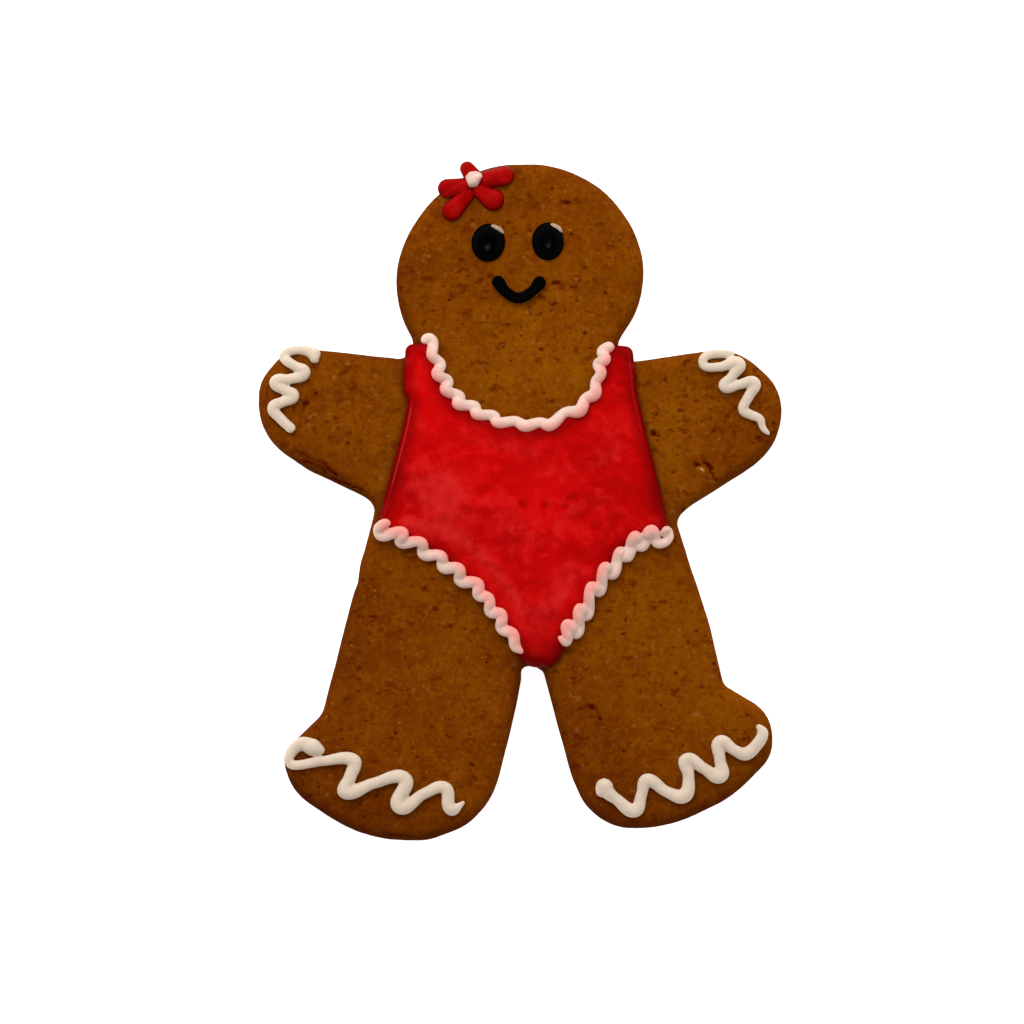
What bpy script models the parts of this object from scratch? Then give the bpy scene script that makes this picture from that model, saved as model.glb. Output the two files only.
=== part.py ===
"""A gingerbread person in a piped swimsuit, lying flat on its back.

The shapes are worked out in millimetres and MM turns them into metres when a mesh is made.
The cookie lies on z = 0 with its head towards +Y and its decorated side up, and at the end
the middle of its bounding box is moved to x = y = 0. Left is -X, as seen from above.

A corner of an outline or a path is (x, y, radius): two straight runs meet there, rounded
with that radius. Every piece of icing is modelled a little into what it lies on, and then
cut back by that piece grown by GAP, so that the two meet face to face.
"""

import math
from typing import NamedTuple

import bmesh
import bpy
import numpy as np
from mathutils import Vector

MM = 0.001
GAP = 0.3  # clear space between a piece and the piece under it
CHORD_ERROR = 0.1  # how far a faceted round may cut inside the true one
CREASE_ANGLE = 50.0  # degrees, above which an edge is shaded sharp
SHOULDER = 0.2  # share of the dough's rounded edge that icing hanging over it stays above

# Dough: a cut-out figure with a rolled-off upper edge and a small lower one.
DOUGH_THICKNESS = 8.0
DOUGH_TOP_ROUND = 3.2
DOUGH_TOP_FALL = 2.6
DOUGH_TOP_STEPS = 4
DOUGH_BOTTOM_ROUND = 1.0
DOUGH_BOTTOM_STEPS = 1
DOUGH_OUTLINE = (
    # head
    (19.8, 32.4, 3.5),
    (33.5, 54.0, 23.5),
    (17.4, 80.2, 27.0),
    (-15.8, 80.2, 28.5),
    (-33.2, 53.6, 25.0),
    (-22.8, 33.4, 3.5),
    # left arm
    (-55.0, 37.0, 10.0),
    (-62.0, 28.5, 10.0),
    (-62.0, 15.5, 15.0),
    (-50.0, 7.6, 24.0),
    (-33.9, -0.1, 3.0),
    # left leg and foot
    (-46.9, -50.2, 6.0),
    (-56.9, -59.9, 4.0),
    (-53.6, -69.0, 12.0),
    (-36.8, -80.2, 34.0),
    (-15.9, -80.2, 19.0),
    (-6.3, -70.2, 19.0),
    (-1.2, -50.0, 50.0),
    (0.9, -38.9, 1.8),
    # right leg and foot
    (5.2, -38.9, 1.8),
    (13.4, -69.5, 17.5),
    (20.9, -77.3, 13.8),
    (34.8, -77.3, 34.0),
    (50.2, -70.0, 27.0),
    (60.0, -60.2, 9.0),
    (59.8, -50.0, 9.8),
    (48.3, -43.4, 3.5),
    (45.1, -29.3, 40.0),
    # right arm
    (36.6, -3.3, 3.0),
    (62.2, 13.0, 16.0),
    (61.9, 27.0, 11.5),
    (51.4, 36.9, 14.5),
)

# Swimsuit: a flooded field of icing. The trims follow three of its lines.
SUIT_THICKNESS = 1.8
SUIT_EDGE_ROUND = 1.5
SUIT_EDGE_FALL = 0.7  # the rounded edge's share of the thickness
SUIT_EDGE_STEPS = 2
SUIT_SUNK = 0.8  # how far the uncut icing reaches into the dough
NECKLINE = (
    (21.6, 37.3, 1.8),
    (19.2, 34.4, 5.0),
    (16.8, 25.0, 14.0),
    (8.0, 18.4, 14.0),
    (-4.5, 18.0, 22.0),
    (-15.7, 24.0, 9.0),
    (-20.6, 34.5, 8.0),
    (-21.4, 37.8, 1.8),
)
LEFT_LEG_LINE = (
    (-34.2, -6.9, 2.0),
    (-20.5, -10.9, 25.0),
    (-7.5, -23.8, 60.0),
    (0.3, -36.4, 3.0),
)
RIGHT_LEG_LINE = (
    (9.2, -35.2, 3.0),
    (25.6, -7.7, 13.0),
    (35.6, -7.4, 2.0),
)
LEFT_STRAP_SIDE = (
    (-27.1, 37.4, 1.8),
    (-27.8, 26.2, 3.0),
    (-26.4, 24.3, 3.0),
    (-27.8, 17.2, 20.0),
)
SUIT_TIP = (5.0, -39.8, 3.0)
RIGHT_STRAP_SIDE = (
    (27.7, 25.5, 30.0),
    (26.7, 36.9, 2.0),
)

# Piped lines
BEAD_SIDES = 10
BEAD_STEP = 0.6
RUN_POINTS = 12  # points on each smooth run between two turns of a line
BEAD_BLUNTNESS = 0.9  # 1 would round a line's ends to a point, and 0 cuts them square
LINE_LIFT = 0.4  # height of a line's middle over the dough, as a share of its own height
FUSE_VOXEL = 0.35
FUSED_SHARE = 0.03  # the share of the fused skin's faces that is kept
TRIM_WIDTH = 2.1
TRIM_HEIGHT = 1.9
TRIM_SWING = 1.25  # how far the trim's middle swings to either side of its line
TRIM_ON_DOUGH = 0.95  # how high the trim's middle runs over the dough, beside the suit
TRIM_ON_SUIT = SUIT_THICKNESS + 0.75
SMILE_WIDTH = 2.8
SMILE_HEIGHT = 2.0
ZIGZAG_WIDTH = 3.1
ZIGZAG_HEIGHT = 2.4


class Trim(NamedTuple):
    """A squiggle piped along one of the suit's lines, which has the suit on its left."""

    line: tuple
    waves: float
    stretch: float  # how much longer the waves are halfway than at the ends, as a share
    phase: float  # in waves
    lean: float  # how far a swing to the left runs ahead, as a share of the swing


TRIMS = {
    "trim_neckline": Trim(NECKLINE, 12.0, 0.2, 0.0, -0.45),
    "trim_left_leg": Trim(LEFT_LEG_LINE, 8.75, 0.0, 0.4, 0.8),
    "trim_right_leg": Trim(RIGHT_LEG_LINE, 8.0, 0.0, 0.0, 0.8),
}

# Where the middle of each zigzag turns. It starts as a loop or a blob and ends in a tip.
ZIGZAGS = {
    "zigzag_left_hand": (
        (-47.7, 33.5),
        (-49.4, 35.7),
        (-52.7, 36.3),
        (-55.3, 34.9),
        (-51.0, 31.1),
        (-57.5, 28.5),
        (-53.6, 25.4),
        (-58.3, 22.1),
        (-54.1, 17.0),
    ),
    "zigzag_right_hand": (
        (51.6, 34.5),
        (48.0, 35.4),
        (43.9, 34.7),
        (44.2, 31.8),
        (51.9, 32.1),
        (48.5, 27.4),
        (55.4, 27.9),
        (53.1, 22.5),
        (56.2, 20.0),
        (58.9, 16.1),
    ),
    "zigzag_left_foot": (
        (-46.6, -58.8),
        (-52.2, -57.1),
        (-54.6, -61.7),
        (-39.3, -61.3),
        (-41.0, -68.4),
        (-26.9, -65.5),
        (-28.4, -71.6),
        (-17.7, -67.6),
        (-16.2, -72.3),
        (-12.6, -70.9),
    ),
    "zigzag_right_foot": (
        (20.3, -67.7),
        (27.3, -73.0),
        (30.1, -66.0),
        (39.5, -69.7),
        (39.6, -61.0),
        (47.5, -65.0),
        (47.2, -56.5),
        (54.1, -59.3),
        (56.7, -53.2),
    ),
}
SMILE = (
    (-5.3, 52.5),
    (-3.4, 49.9),
    (-0.3, 48.3),
    (2.7, 49.8),
    (4.6, 52.0),
)


class Drop(NamedTuple):
    """A dab of icing with a round end and a smaller one, as seen from above."""

    round_end: tuple
    round_radius: float
    narrow_end: tuple
    narrow_radius: float


# Dabs of icing are domes, round above and shallower below, where they are cut back.
DAB_LATITUDES = (-75, -35, 0, 28, 50, 68, 82)
DAB_SUNK = 0.9

# Face: eyes and glints are (x, y, width, length, tilt in degrees).
EYE_POINTS = 20
EYE_HEIGHT = 2.0
EYES = {
    "eye_left": (-7.5, 61.5, 8.0, 9.1, -8.0),
    "eye_right": (6.6, 61.8, 7.6, 9.0, 0.0),
}
GLINT_POINTS = 10
GLINT_HEIGHT = 0.9
GLINT_LIFT = 1.0  # how high above the dough a glint's widest ring lies, on its eye
GLINT_SUNK = 0.5
GLINTS = {
    "glint_left": (-5.4, 64.9, 3.4, 1.3, -34.0),
    "glint_right": (8.6, 65.2, 3.4, 1.4, -34.0),
}

# Flower: five petals round a white middle that lies over their ends.
DROP_POINTS = 16
PETAL_HEIGHT = 1.8
PETALS = {
    "petal_top": Drop((-12.6, 79.3), 1.4, (-11.7, 77.9), 1.5),
    "petal_left": Drop((-17.2, 74.4), 2.2, (-13.9, 74.8), 1.1),
    "petal_bottom_left": Drop((-16.1, 68.8), 2.25, (-12.1, 73.4), 0.8),
    "petal_bottom_right": Drop((-6.2, 71.6), 2.4, (-9.8, 73.8), 0.8),
    "petal_right": Drop((-3.5, 77.5), 2.3, (-8.0, 76.5), 1.0),
}
FLOWER_MIDDLE = Drop((-11.0, 76.65), 1.95, (-11.0, 75.3), 0.7)
FLOWER_MIDDLE_HEIGHT = 2.6


class Finish(NamedTuple):
    """A plain finish: a linear colour and a roughness."""

    color: tuple
    roughness: float


FINISHES = {
    "gingerbread": Finish((0.20, 0.050, 0.006), 0.8),
    "suit_icing": Finish((0.57, 0.004, 0.005), 0.4),
    "trim_icing": Finish((0.68, 0.52, 0.42), 0.5),
    "zigzag_icing": Finish((0.66, 0.53, 0.42), 0.5),
    "eye_icing": Finish((0.003, 0.003, 0.004), 0.1),
    "glint_icing": Finish((0.60, 0.46, 0.34), 0.5),
    "smile_icing": Finish((0.003, 0.003, 0.004), 0.2),
    "petal_icing": Finish((0.33, 0.004, 0.003), 0.4),
    "flower_middle_icing": Finish((0.72, 0.54, 0.45), 0.5),
}


def clear_scene():
    """Remove whatever the scene holds."""
    for existing in list(bpy.data.objects):
        bpy.data.objects.remove(existing, do_unlink=True)


def finish(name):
    """A plain Principled material with one of the named finishes."""
    material = bpy.data.materials.new(name)
    material.use_nodes = True
    shader = material.node_tree.nodes["Principled BSDF"]
    shader.inputs["Base Color"].default_value = (*FINISHES[name].color, 1.0)
    shader.inputs["Roughness"].default_value = FINISHES[name].roughness
    shader.inputs["Metallic"].default_value = 0.0
    return material


def left_of(direction):
    """The direction a quarter turn anticlockwise from this one."""
    return np.array((-direction[1], direction[0]))


def rounded_path(corners, closed=True, inset=0.0):
    """Points of a path with rounded corners, moved to its left by inset.

    The left is the inside of an anticlockwise outline. A corner has as many points at one
    inset as at another, so two insets of an outline can be joined point to point.
    """
    places = [np.array(corner[:2]) for corner in corners]
    following = places[1:] + places[:1]
    headings = [(b - a) / np.linalg.norm(b - a) for a, b in zip(places, following)]
    path = []
    for i, (place, corner) in enumerate(zip(places, corners)):
        if not closed and i in (0, len(places) - 1):
            path.append(place)
            continue
        arriving, leaving = headings[i - 1], headings[i]
        turn = math.atan2(left_of(arriving) @ leaving, arriving @ leaving)
        side = math.copysign(1.0, turn)
        mitre = (left_of(arriving) + left_of(leaving)) / (1.0 + arriving @ leaving)
        radius = corner[2] - side * inset
        start = place + inset * mitre - arriving * radius * math.tan(abs(turn) / 2)
        centre = start + left_of(arriving) * side * radius
        step = 2 * math.acos(1 - CHORD_ERROR / corner[2])
        steps = max(1, math.ceil(abs(turn) / step))
        for k in range(steps + 1):
            angle = turn * k / steps
            spoke = start - centre
            across = left_of(spoke)
            path.append(centre + math.cos(angle) * spoke + math.sin(angle) * across)
    return np.array(path)


def evenly_spaced(path, step):
    """The path's points again, about step apart along it."""
    lengths = np.linalg.norm(np.diff(path, axis=0), axis=1)
    along = np.concatenate([[0.0], np.cumsum(lengths)])
    places = np.linspace(0.0, along[-1], max(2, round(along[-1] / step)) + 1)
    return np.column_stack([np.interp(places, along, path[:, i]) for i in range(2)])


def headings_of(path):
    """Unit directions along an open path, one for each of its points."""
    directions = np.gradient(path, axis=0)
    return directions / np.linalg.norm(directions, axis=1, keepdims=True)


def depth_inside(points, outline):
    """How far each point lies inside the outline, negative outside it."""
    starts = outline
    runs = np.roll(outline, -1, axis=0) - starts
    offsets = points[:, None, :] - starts[None, :, :]
    share = (offsets * runs).sum(axis=2) / (runs * runs).sum(axis=1)
    nearest = offsets - np.clip(share, 0.0, 1.0)[:, :, None] * runs
    distance = np.linalg.norm(nearest, axis=2).min(axis=1)
    ends = starts + runs
    spans = (starts[:, 1] > points[:, None, 1]) != (ends[:, 1] > points[:, None, 1])
    rise = np.where(runs[:, 1] == 0.0, 1.0, runs[:, 1])
    crossing = starts[:, 0] + runs[:, 0] * offsets[:, :, 1] / rise
    inside = (spans & (points[:, None, 0] < crossing)).sum(axis=1) % 2 == 1
    return np.where(inside, distance, -distance)


def surface_height(points):
    """The dough's upper surface at these places, level with its edge's shoulder outside."""
    share = depth_inside(points, rounded_path(DOUGH_OUTLINE)) / DOUGH_TOP_ROUND
    away = 1.0 - np.clip(share, SHOULDER, 1.0)
    return DOUGH_THICKNESS - DOUGH_TOP_FALL * (1.0 - np.sqrt(1.0 - away**2))


def quarter_round(reach, fall, steps):
    """(inset, drop) pairs of a rounded edge, from its outer foot to the level top."""
    angles = [math.pi / 2 * k / steps for k in range(steps + 1)]
    return [(reach * (1 - math.cos(a)), fall * (1 - math.sin(a))) for a in angles]


def solid_from_rings(name, rings, material):
    """An object whose skin joins rings of equal length, capped by the first and the last."""
    shape = bmesh.new()
    loops = [[shape.verts.new(Vector(point) * MM) for point in ring] for ring in rings]
    for lower, upper in zip(loops, loops[1:]):
        for i in range(len(lower)):
            shape.faces.new((lower[i - 1], lower[i], upper[i], upper[i - 1]))
    shape.faces.new(loops[0][::-1])
    shape.faces.new(loops[-1])
    mesh = bpy.data.meshes.new(name)
    shape.to_mesh(mesh)
    shape.free()
    mesh.shade_smooth()
    mesh.set_sharp_from_angle(angle=math.radians(CREASE_ANGLE))
    made = bpy.data.objects.new(name, mesh)
    made.data.materials.append(material)
    bpy.context.scene.collection.objects.link(made)
    return made


def with_height(plan, height):
    """Plan points as points in space, at one height or at one for each."""
    return np.column_stack([plan, np.broadcast_to(height, len(plan))])


def dough_solid(name, material, grown=0.0):
    """The dough, or the same shape grown on all sides."""
    lower = quarter_round(DOUGH_BOTTOM_ROUND, DOUGH_BOTTOM_ROUND, DOUGH_BOTTOM_STEPS)
    upper = quarter_round(DOUGH_TOP_ROUND, DOUGH_TOP_FALL, DOUGH_TOP_STEPS)
    levels = [(inset, drop - grown) for inset, drop in reversed(lower)]
    levels += [(inset, DOUGH_THICKNESS - drop + grown) for inset, drop in upper]
    rings = [
        with_height(rounded_path(DOUGH_OUTLINE, inset=inset - grown), height)
        for inset, height in levels
    ]
    return solid_from_rings(name, rings, material)


def suit_solid(name, material, grown=0.0):
    """The flooded swimsuit icing, or the same shape grown on all sides."""
    outline = (
        *NECKLINE,
        *LEFT_STRAP_SIDE,
        *LEFT_LEG_LINE,
        SUIT_TIP,
        *RIGHT_LEG_LINE,
        *RIGHT_STRAP_SIDE,
    )
    edge = quarter_round(SUIT_EDGE_ROUND, SUIT_THICKNESS * SUIT_EDGE_FALL, SUIT_EDGE_STEPS)
    levels = [(0.0, -SUIT_SUNK)]
    levels += [(inset, SUIT_THICKNESS - drop + grown) for inset, drop in edge]
    rings = []
    for inset, height in levels:
        plan = rounded_path(outline, inset=inset - grown)
        rings.append(with_height(plan, surface_height(plan) + height))
    return solid_from_rings(name, rings, material)


def dome_solid(name, outline, middle, height, material, sunk=DAB_SUNK, lifted=0.0, grown=0.0):
    """A closed dab over a plan outline: round above, shallower below.

    Its rings shrink towards middle, and its widest ring lies on the dough or lifted above it.
    """
    middle = np.array(middle)
    spokes = outline - middle
    spokes = spokes * (1 + grown / np.linalg.norm(spokes, axis=1, keepdims=True))
    base = surface_height(middle[None, :])[0] + GAP + lifted
    rings = []
    for latitude in DAB_LATITUDES:
        angle = math.radians(latitude)
        rise = height if latitude > 0 else sunk
        level = base + (rise + grown) * math.sin(angle)
        rings.append(with_height(middle + math.cos(angle) * spokes, level))
    return solid_from_rings(name, rings, material)


def ellipse(x, y, width, length, tilt, points):
    """An anticlockwise ellipse whose width lies along +X before it is tilted."""
    angles = 2 * math.pi * np.arange(points) / points
    wide = np.cos(angles) * width / 2
    long = np.sin(angles) * length / 2
    cosine, sine = math.cos(math.radians(tilt)), math.sin(math.radians(tilt))
    return np.column_stack([x + wide * cosine - long * sine, y + wide * sine + long * cosine])


def drop_outline(drop, points):
    """The anticlockwise outline of a drop: two arcs and the straight sides between them."""
    axis = np.array(drop.round_end) - np.array(drop.narrow_end)
    length = np.linalg.norm(axis)
    heading = math.atan2(axis[1], axis[0])
    flare = math.asin((drop.round_radius - drop.narrow_radius) / length)
    outline = []
    for end, radius, middle, half in (
        (drop.round_end, drop.round_radius, heading, math.pi / 2 + flare),
        (drop.narrow_end, drop.narrow_radius, heading + math.pi, math.pi / 2 - flare),
    ):
        for angle in np.linspace(middle - half, middle + half, points // 2):
            outline.append((end[0] + radius * math.cos(angle), end[1] + radius * math.sin(angle)))
    return np.array(outline)


def smooth_path(places):
    """A smooth line through these places: the longer its runs, the rounder its turns."""
    places = np.array(places)
    headings = headings_of(places)
    share = np.linspace(0.0, 1.0, RUN_POINTS, endpoint=False)[:, None]
    stretches = []
    for start, end, leaving, arriving in zip(places, places[1:], headings, headings[1:]):
        reach = np.linalg.norm(end - start)
        moved = share**2 * (3 - 2 * share)
        leaving_pull = share * (1 - share) ** 2 * reach
        arriving_pull = share**2 * (share - 1) * reach
        stretches.append(
            start + moved * (end - start) + leaving_pull * leaving + arriving_pull * arriving
        )
    return np.vstack([*stretches, places[-1:]])


def bead_solid(name, path, heights, width, height, material):
    """A piped line: an oval section swept along a path, with round ends.

    heights gives the level of the section's middle at each point of the path.
    """
    steps = np.linalg.norm(np.diff(path, axis=0), axis=1)
    along = np.concatenate([[0.0], np.cumsum(steps)])
    from_end = np.minimum(along, along[-1] - along) / (width / 2)
    swell = np.sqrt(1 - np.clip(BEAD_BLUNTNESS - from_end, 0.0, BEAD_BLUNTNESS) ** 2)
    rings = []
    for place, heading, level, size in zip(path, headings_of(path), heights, swell):
        ring = []
        for k in range(BEAD_SIDES):
            angle = 2 * math.pi * k / BEAD_SIDES
            x, y = place + math.cos(angle) * size * width / 2 * left_of(heading)
            ring.append((x, y, level + math.sin(angle) * size * height / 2))
        rings.append(ring)
    return solid_from_rings(name, rings, material)


def melt(bead):
    """Fuse a bead's touching turns into one skin of few faces."""
    fuse = bead.modifiers.new("fuse", "REMESH")
    fuse.mode = "VOXEL"
    fuse.voxel_size = FUSE_VOXEL * MM
    fuse.use_smooth_shade = True
    thin = bead.modifiers.new("thin", "DECIMATE")
    thin.ratio = FUSED_SHARE


def trim_path(trim):
    """The middle of a trim, and how far it swings to the left at each point, from -1 to 1."""
    line = evenly_spaced(rounded_path(trim.line, closed=False), BEAD_STEP / 2)
    ahead = headings_of(line)
    left = np.array([left_of(heading) for heading in ahead])
    share = np.linspace(0.0, 1.0, len(line))
    slowing = trim.stretch * np.sin(2 * math.pi * share) / (2 * math.pi)
    swing = np.sin(2 * math.pi * (trim.waves * (share + slowing) + trim.phase))
    return line + TRIM_SWING * swing[:, None] * (left + trim.lean * ahead), swing


def trim_solid(name, trim, material):
    """A trim, high where it swings onto the suit and low where it swings onto the dough."""
    path, swing = trim_path(trim)
    middle = (TRIM_ON_SUIT + TRIM_ON_DOUGH) / 2
    rise = (TRIM_ON_SUIT - TRIM_ON_DOUGH) / 2
    heights = surface_height(path) + middle + rise * swing
    bead = bead_solid(name, path, heights, TRIM_WIDTH, TRIM_HEIGHT, material)
    melt(bead)
    return bead


def line_solid(name, places, width, height, material):
    """A line piped on the bare dough."""
    path = evenly_spaced(smooth_path(places), BEAD_STEP)
    heights = surface_height(path) + GAP + LINE_LIFT * height
    return bead_solid(name, path, heights, width, height, material)


def as_cutter(shape):
    """Keep a shape as a guide for cutting only."""
    shape.hide_render = True
    shape.display_type = "WIRE"
    return shape


def cut_back(piece, cutter):
    """Cut away what a piece shares with a cutter."""
    cut = piece.modifiers.new("clear_of_" + cutter.name, "BOOLEAN")
    cut.operation = "DIFFERENCE"
    cut.solver = "EXACT"
    cut.object = cutter


def make_suit():
    """The swimsuit and the trims along its edges."""
    red = finish("suit_icing")
    white = finish("trim_icing")
    suit = suit_solid("suit_icing", red)
    bed = as_cutter(suit_solid("suit_bed", red, grown=GAP))
    trims = [trim_solid(name, trim, white) for name, trim in TRIMS.items()]
    for trim in trims:
        cut_back(trim, bed)
    return [suit, *trims], [bed]


def make_lines():
    """The zigzags on the hands and feet, and the smile."""
    white = finish("zigzag_icing")
    black = finish("smile_icing")
    lines = [line_solid("smile", SMILE, SMILE_WIDTH, SMILE_HEIGHT, black)]
    for name, places in ZIGZAGS.items():
        zigzag = line_solid(name, places, ZIGZAG_WIDTH, ZIGZAG_HEIGHT, white)
        melt(zigzag)
        lines.append(zigzag)
    return lines


def make_eyes():
    """The eyes, each with a white glint on its upper right shoulder."""
    black = finish("eye_icing")
    white = finish("glint_icing")
    dabs, beds = [], []
    for (name, eye), (glint_name, glint) in zip(EYES.items(), GLINTS.items()):
        dab = (ellipse(*eye, EYE_POINTS), eye[:2], EYE_HEIGHT, black)
        dabs.append(dome_solid(name, *dab))
        bed = as_cutter(dome_solid(name + "_bed", *dab, grown=GAP))
        dab = (ellipse(*glint, GLINT_POINTS), glint[:2], GLINT_HEIGHT, white)
        shine = dome_solid(glint_name, *dab, sunk=GLINT_SUNK, lifted=GLINT_LIFT)
        cut_back(shine, bed)
        dabs.append(shine)
        beds.append(bed)
    return dabs, beds


def make_flower():
    """The petals, and the middle that covers their inner ends."""
    red = finish("petal_icing")
    white = finish("flower_middle_icing")
    outline = drop_outline(FLOWER_MIDDLE, DROP_POINTS)
    dab = (outline, FLOWER_MIDDLE.round_end, FLOWER_MIDDLE_HEIGHT, white)
    middle = dome_solid("flower_middle", *dab)
    bed = as_cutter(dome_solid("flower_middle_bed", *dab, grown=GAP))
    petals = []
    for name, drop in PETALS.items():
        outline = drop_outline(drop, DROP_POINTS)
        petal = dome_solid(name, outline, drop.round_end, PETAL_HEIGHT, red)
        cut_back(petal, bed)
        petals.append(petal)
    return [middle, *petals], [bed]


def centre(pieces, everything):
    """Hang everything on one empty, with the pieces' bounding box on the origin."""
    bpy.context.view_layer.update()
    corners = np.array([corner for piece in pieces for corner in piece.bound_box])
    low, high = corners.min(axis=0), corners.max(axis=0)
    cookie = bpy.data.objects.new("cookie", None)
    bpy.context.scene.collection.objects.link(cookie)
    cookie.location = (-(low[0] + high[0]) / 2, -(low[1] + high[1]) / 2, -low[2])
    for shape in everything:
        shape.parent = cookie


def main():
    clear_scene()
    crust = finish("gingerbread")
    dough = dough_solid("gingerbread", crust)
    dough_bed = as_cutter(dough_solid("dough_bed", crust, grown=GAP))
    suit_pieces, suit_beds = make_suit()
    eye_pieces, eye_beds = make_eyes()
    flower_pieces, flower_beds = make_flower()
    icing = [*suit_pieces, *make_lines(), *eye_pieces, *flower_pieces]
    for piece in icing:
        cut_back(piece, dough_bed)
    beds = [dough_bed, *suit_beds, *eye_beds, *flower_beds]
    centre([dough, *icing], [dough, *icing, *beds])


if __name__ == "__main__":
    main()
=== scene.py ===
"""A gingerbread person in a piped swimsuit, lying flat on its back: the looks.

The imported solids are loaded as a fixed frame, and each piece made here stands for one of
them. Plans are drawn in millimetres, in the same drawing as the solids: the head lies
towards +Y, the decorated side is up, and left is -X, as seen from above. MM turns
millimetres into metres when a mesh is made.

A corner of an outline is (x, y, radius): two straight runs meet there, rounded with that
radius. A place on a piped line is (x, y, width).
"""

from __future__ import annotations

import sys

import logging
import math
from dataclasses import dataclass, field
from enum import Enum
from typing import Iterable, NamedTuple, Sequence, Union

import bpy
import numpy as np
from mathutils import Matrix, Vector, geometry, kdtree

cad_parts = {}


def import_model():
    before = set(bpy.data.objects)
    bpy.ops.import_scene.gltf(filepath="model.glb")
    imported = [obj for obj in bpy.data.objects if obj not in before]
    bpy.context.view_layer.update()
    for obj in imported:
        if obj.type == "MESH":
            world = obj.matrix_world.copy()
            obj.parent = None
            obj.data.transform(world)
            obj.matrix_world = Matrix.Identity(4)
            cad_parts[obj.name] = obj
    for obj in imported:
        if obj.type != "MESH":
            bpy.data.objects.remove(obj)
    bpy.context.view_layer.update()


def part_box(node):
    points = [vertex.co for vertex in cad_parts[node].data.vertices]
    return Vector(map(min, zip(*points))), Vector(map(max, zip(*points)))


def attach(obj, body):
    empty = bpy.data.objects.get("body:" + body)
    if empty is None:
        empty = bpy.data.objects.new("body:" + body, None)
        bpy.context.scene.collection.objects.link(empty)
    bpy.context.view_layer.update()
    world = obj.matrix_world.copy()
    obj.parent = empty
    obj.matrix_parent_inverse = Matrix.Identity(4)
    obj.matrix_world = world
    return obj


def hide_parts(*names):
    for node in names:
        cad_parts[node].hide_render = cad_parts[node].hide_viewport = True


LOG = logging.getLogger("gingerbread")

MM = 0.001
BODY = "root"
SEED = 11

Place = tuple[float, float]
Corner = tuple[float, float, float]
Colour = tuple[float, float, float]
Number = Union[float, "Signal"]


def rows(kind: type, *values: tuple) -> tuple:
    """Records of this kind, one for each row of values."""
    return tuple(kind(*row) for row in values)


# The drawing

DOUGH_OUTLINE: tuple[Corner, ...] = (
    # head
    (19.8, 32.4, 3.5), (33.5, 54.0, 23.5), (17.4, 80.2, 27.0), (-15.8, 80.2, 28.5),
    (-33.2, 53.6, 25.0), (-22.8, 33.4, 3.5),
    # left arm
    (-55.0, 37.0, 10.0), (-62.0, 28.5, 10.0), (-62.0, 15.5, 15.0), (-50.0, 7.6, 24.0),
    (-33.9, -0.1, 3.0),
    # left leg and foot
    (-46.9, -50.2, 6.0), (-56.9, -59.9, 4.0), (-53.6, -69.0, 12.0), (-36.8, -80.2, 34.0),
    (-15.9, -80.2, 19.0), (-6.3, -70.2, 19.0), (-1.2, -50.0, 50.0), (0.9, -38.9, 1.8),
    # right leg and foot
    (5.2, -38.9, 1.8), (13.4, -69.5, 17.5), (20.9, -77.3, 13.8), (34.8, -77.3, 34.0),
    (50.2, -70.0, 27.0), (60.0, -60.2, 9.0), (59.8, -50.0, 9.8), (48.3, -43.4, 3.5),
    (45.1, -29.3, 40.0),
    # right arm
    (36.6, -3.3, 3.0), (62.2, 13.0, 16.0), (61.9, 27.0, 11.5), (51.4, 36.9, 14.5),
)
NECKLINE: tuple[Corner, ...] = (
    (21.6, 37.3, 1.8), (19.2, 34.4, 5.0), (16.8, 25.0, 14.0), (8.0, 18.4, 14.0),
    (-4.5, 18.0, 22.0), (-15.7, 24.0, 9.0), (-20.6, 34.5, 8.0), (-21.4, 37.8, 1.8),
)
LEFT_STRAP_SIDE: tuple[Corner, ...] = (
    (-27.1, 37.4, 1.8), (-27.8, 26.2, 3.0), (-26.4, 24.3, 3.0), (-27.8, 17.2, 20.0),
)
LEFT_LEG_LINE: tuple[Corner, ...] = (
    (-34.2, -6.9, 2.0), (-20.5, -10.9, 25.0), (-7.5, -23.8, 60.0), (-1.0, -35.2, 2.5),
)
SUIT_TIP: tuple[Corner, ...] = (
    (1.2, -39.1, 4.8), (8.6, -39.0, 5.0),
)
RIGHT_LEG_LINE: tuple[Corner, ...] = (
    (10.5, -34.0, 2.5), (25.6, -7.7, 13.0), (35.6, -7.4, 2.0),
)
RIGHT_STRAP_SIDE: tuple[Corner, ...] = (
    (27.7, 25.5, 30.0), (26.7, 36.9, 2.0),
)
SUIT_OUTLINE: tuple[Corner, ...] = (
    *NECKLINE,
    *LEFT_STRAP_SIDE,
    *LEFT_LEG_LINE,
    *SUIT_TIP,
    *RIGHT_LEG_LINE,
    *RIGHT_STRAP_SIDE,
)


class Tint(NamedTuple):
    """A soft round patch of a shade, or of a rise in mm."""

    x: float
    y: float
    reach: float
    strength: float


# Low swellings of the cut edge, and dips where the strength is negative
BULGES = rows(
    Tint,
    (-56.5, -60.5, 2.2, -0.40), (-17.0, -79.0, 4.0, -0.45), (1.0, -40.0, 1.4, -0.45),
    (5.0, -39.0, 1.2, 0.45), (38.0, -3.0, 2.2, 0.45), (-35.0, 0.0, 2.0, 0.28),
    (13.0, -68.0, 3.0, -0.30), (28.0, 39.5, 3.5, -0.45), (-38.4, -14.0, 2.2, 0.30),
    (-39.2, -19.0, 1.6, -0.30),
)


class Pit(NamedTuple):
    """A small hole or dark fleck in the baked top: an oval that may lie aslant."""

    x: float
    y: float
    length: float
    width: float
    tilt: float  # degrees from +X
    depth: float
    darkness: float


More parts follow.
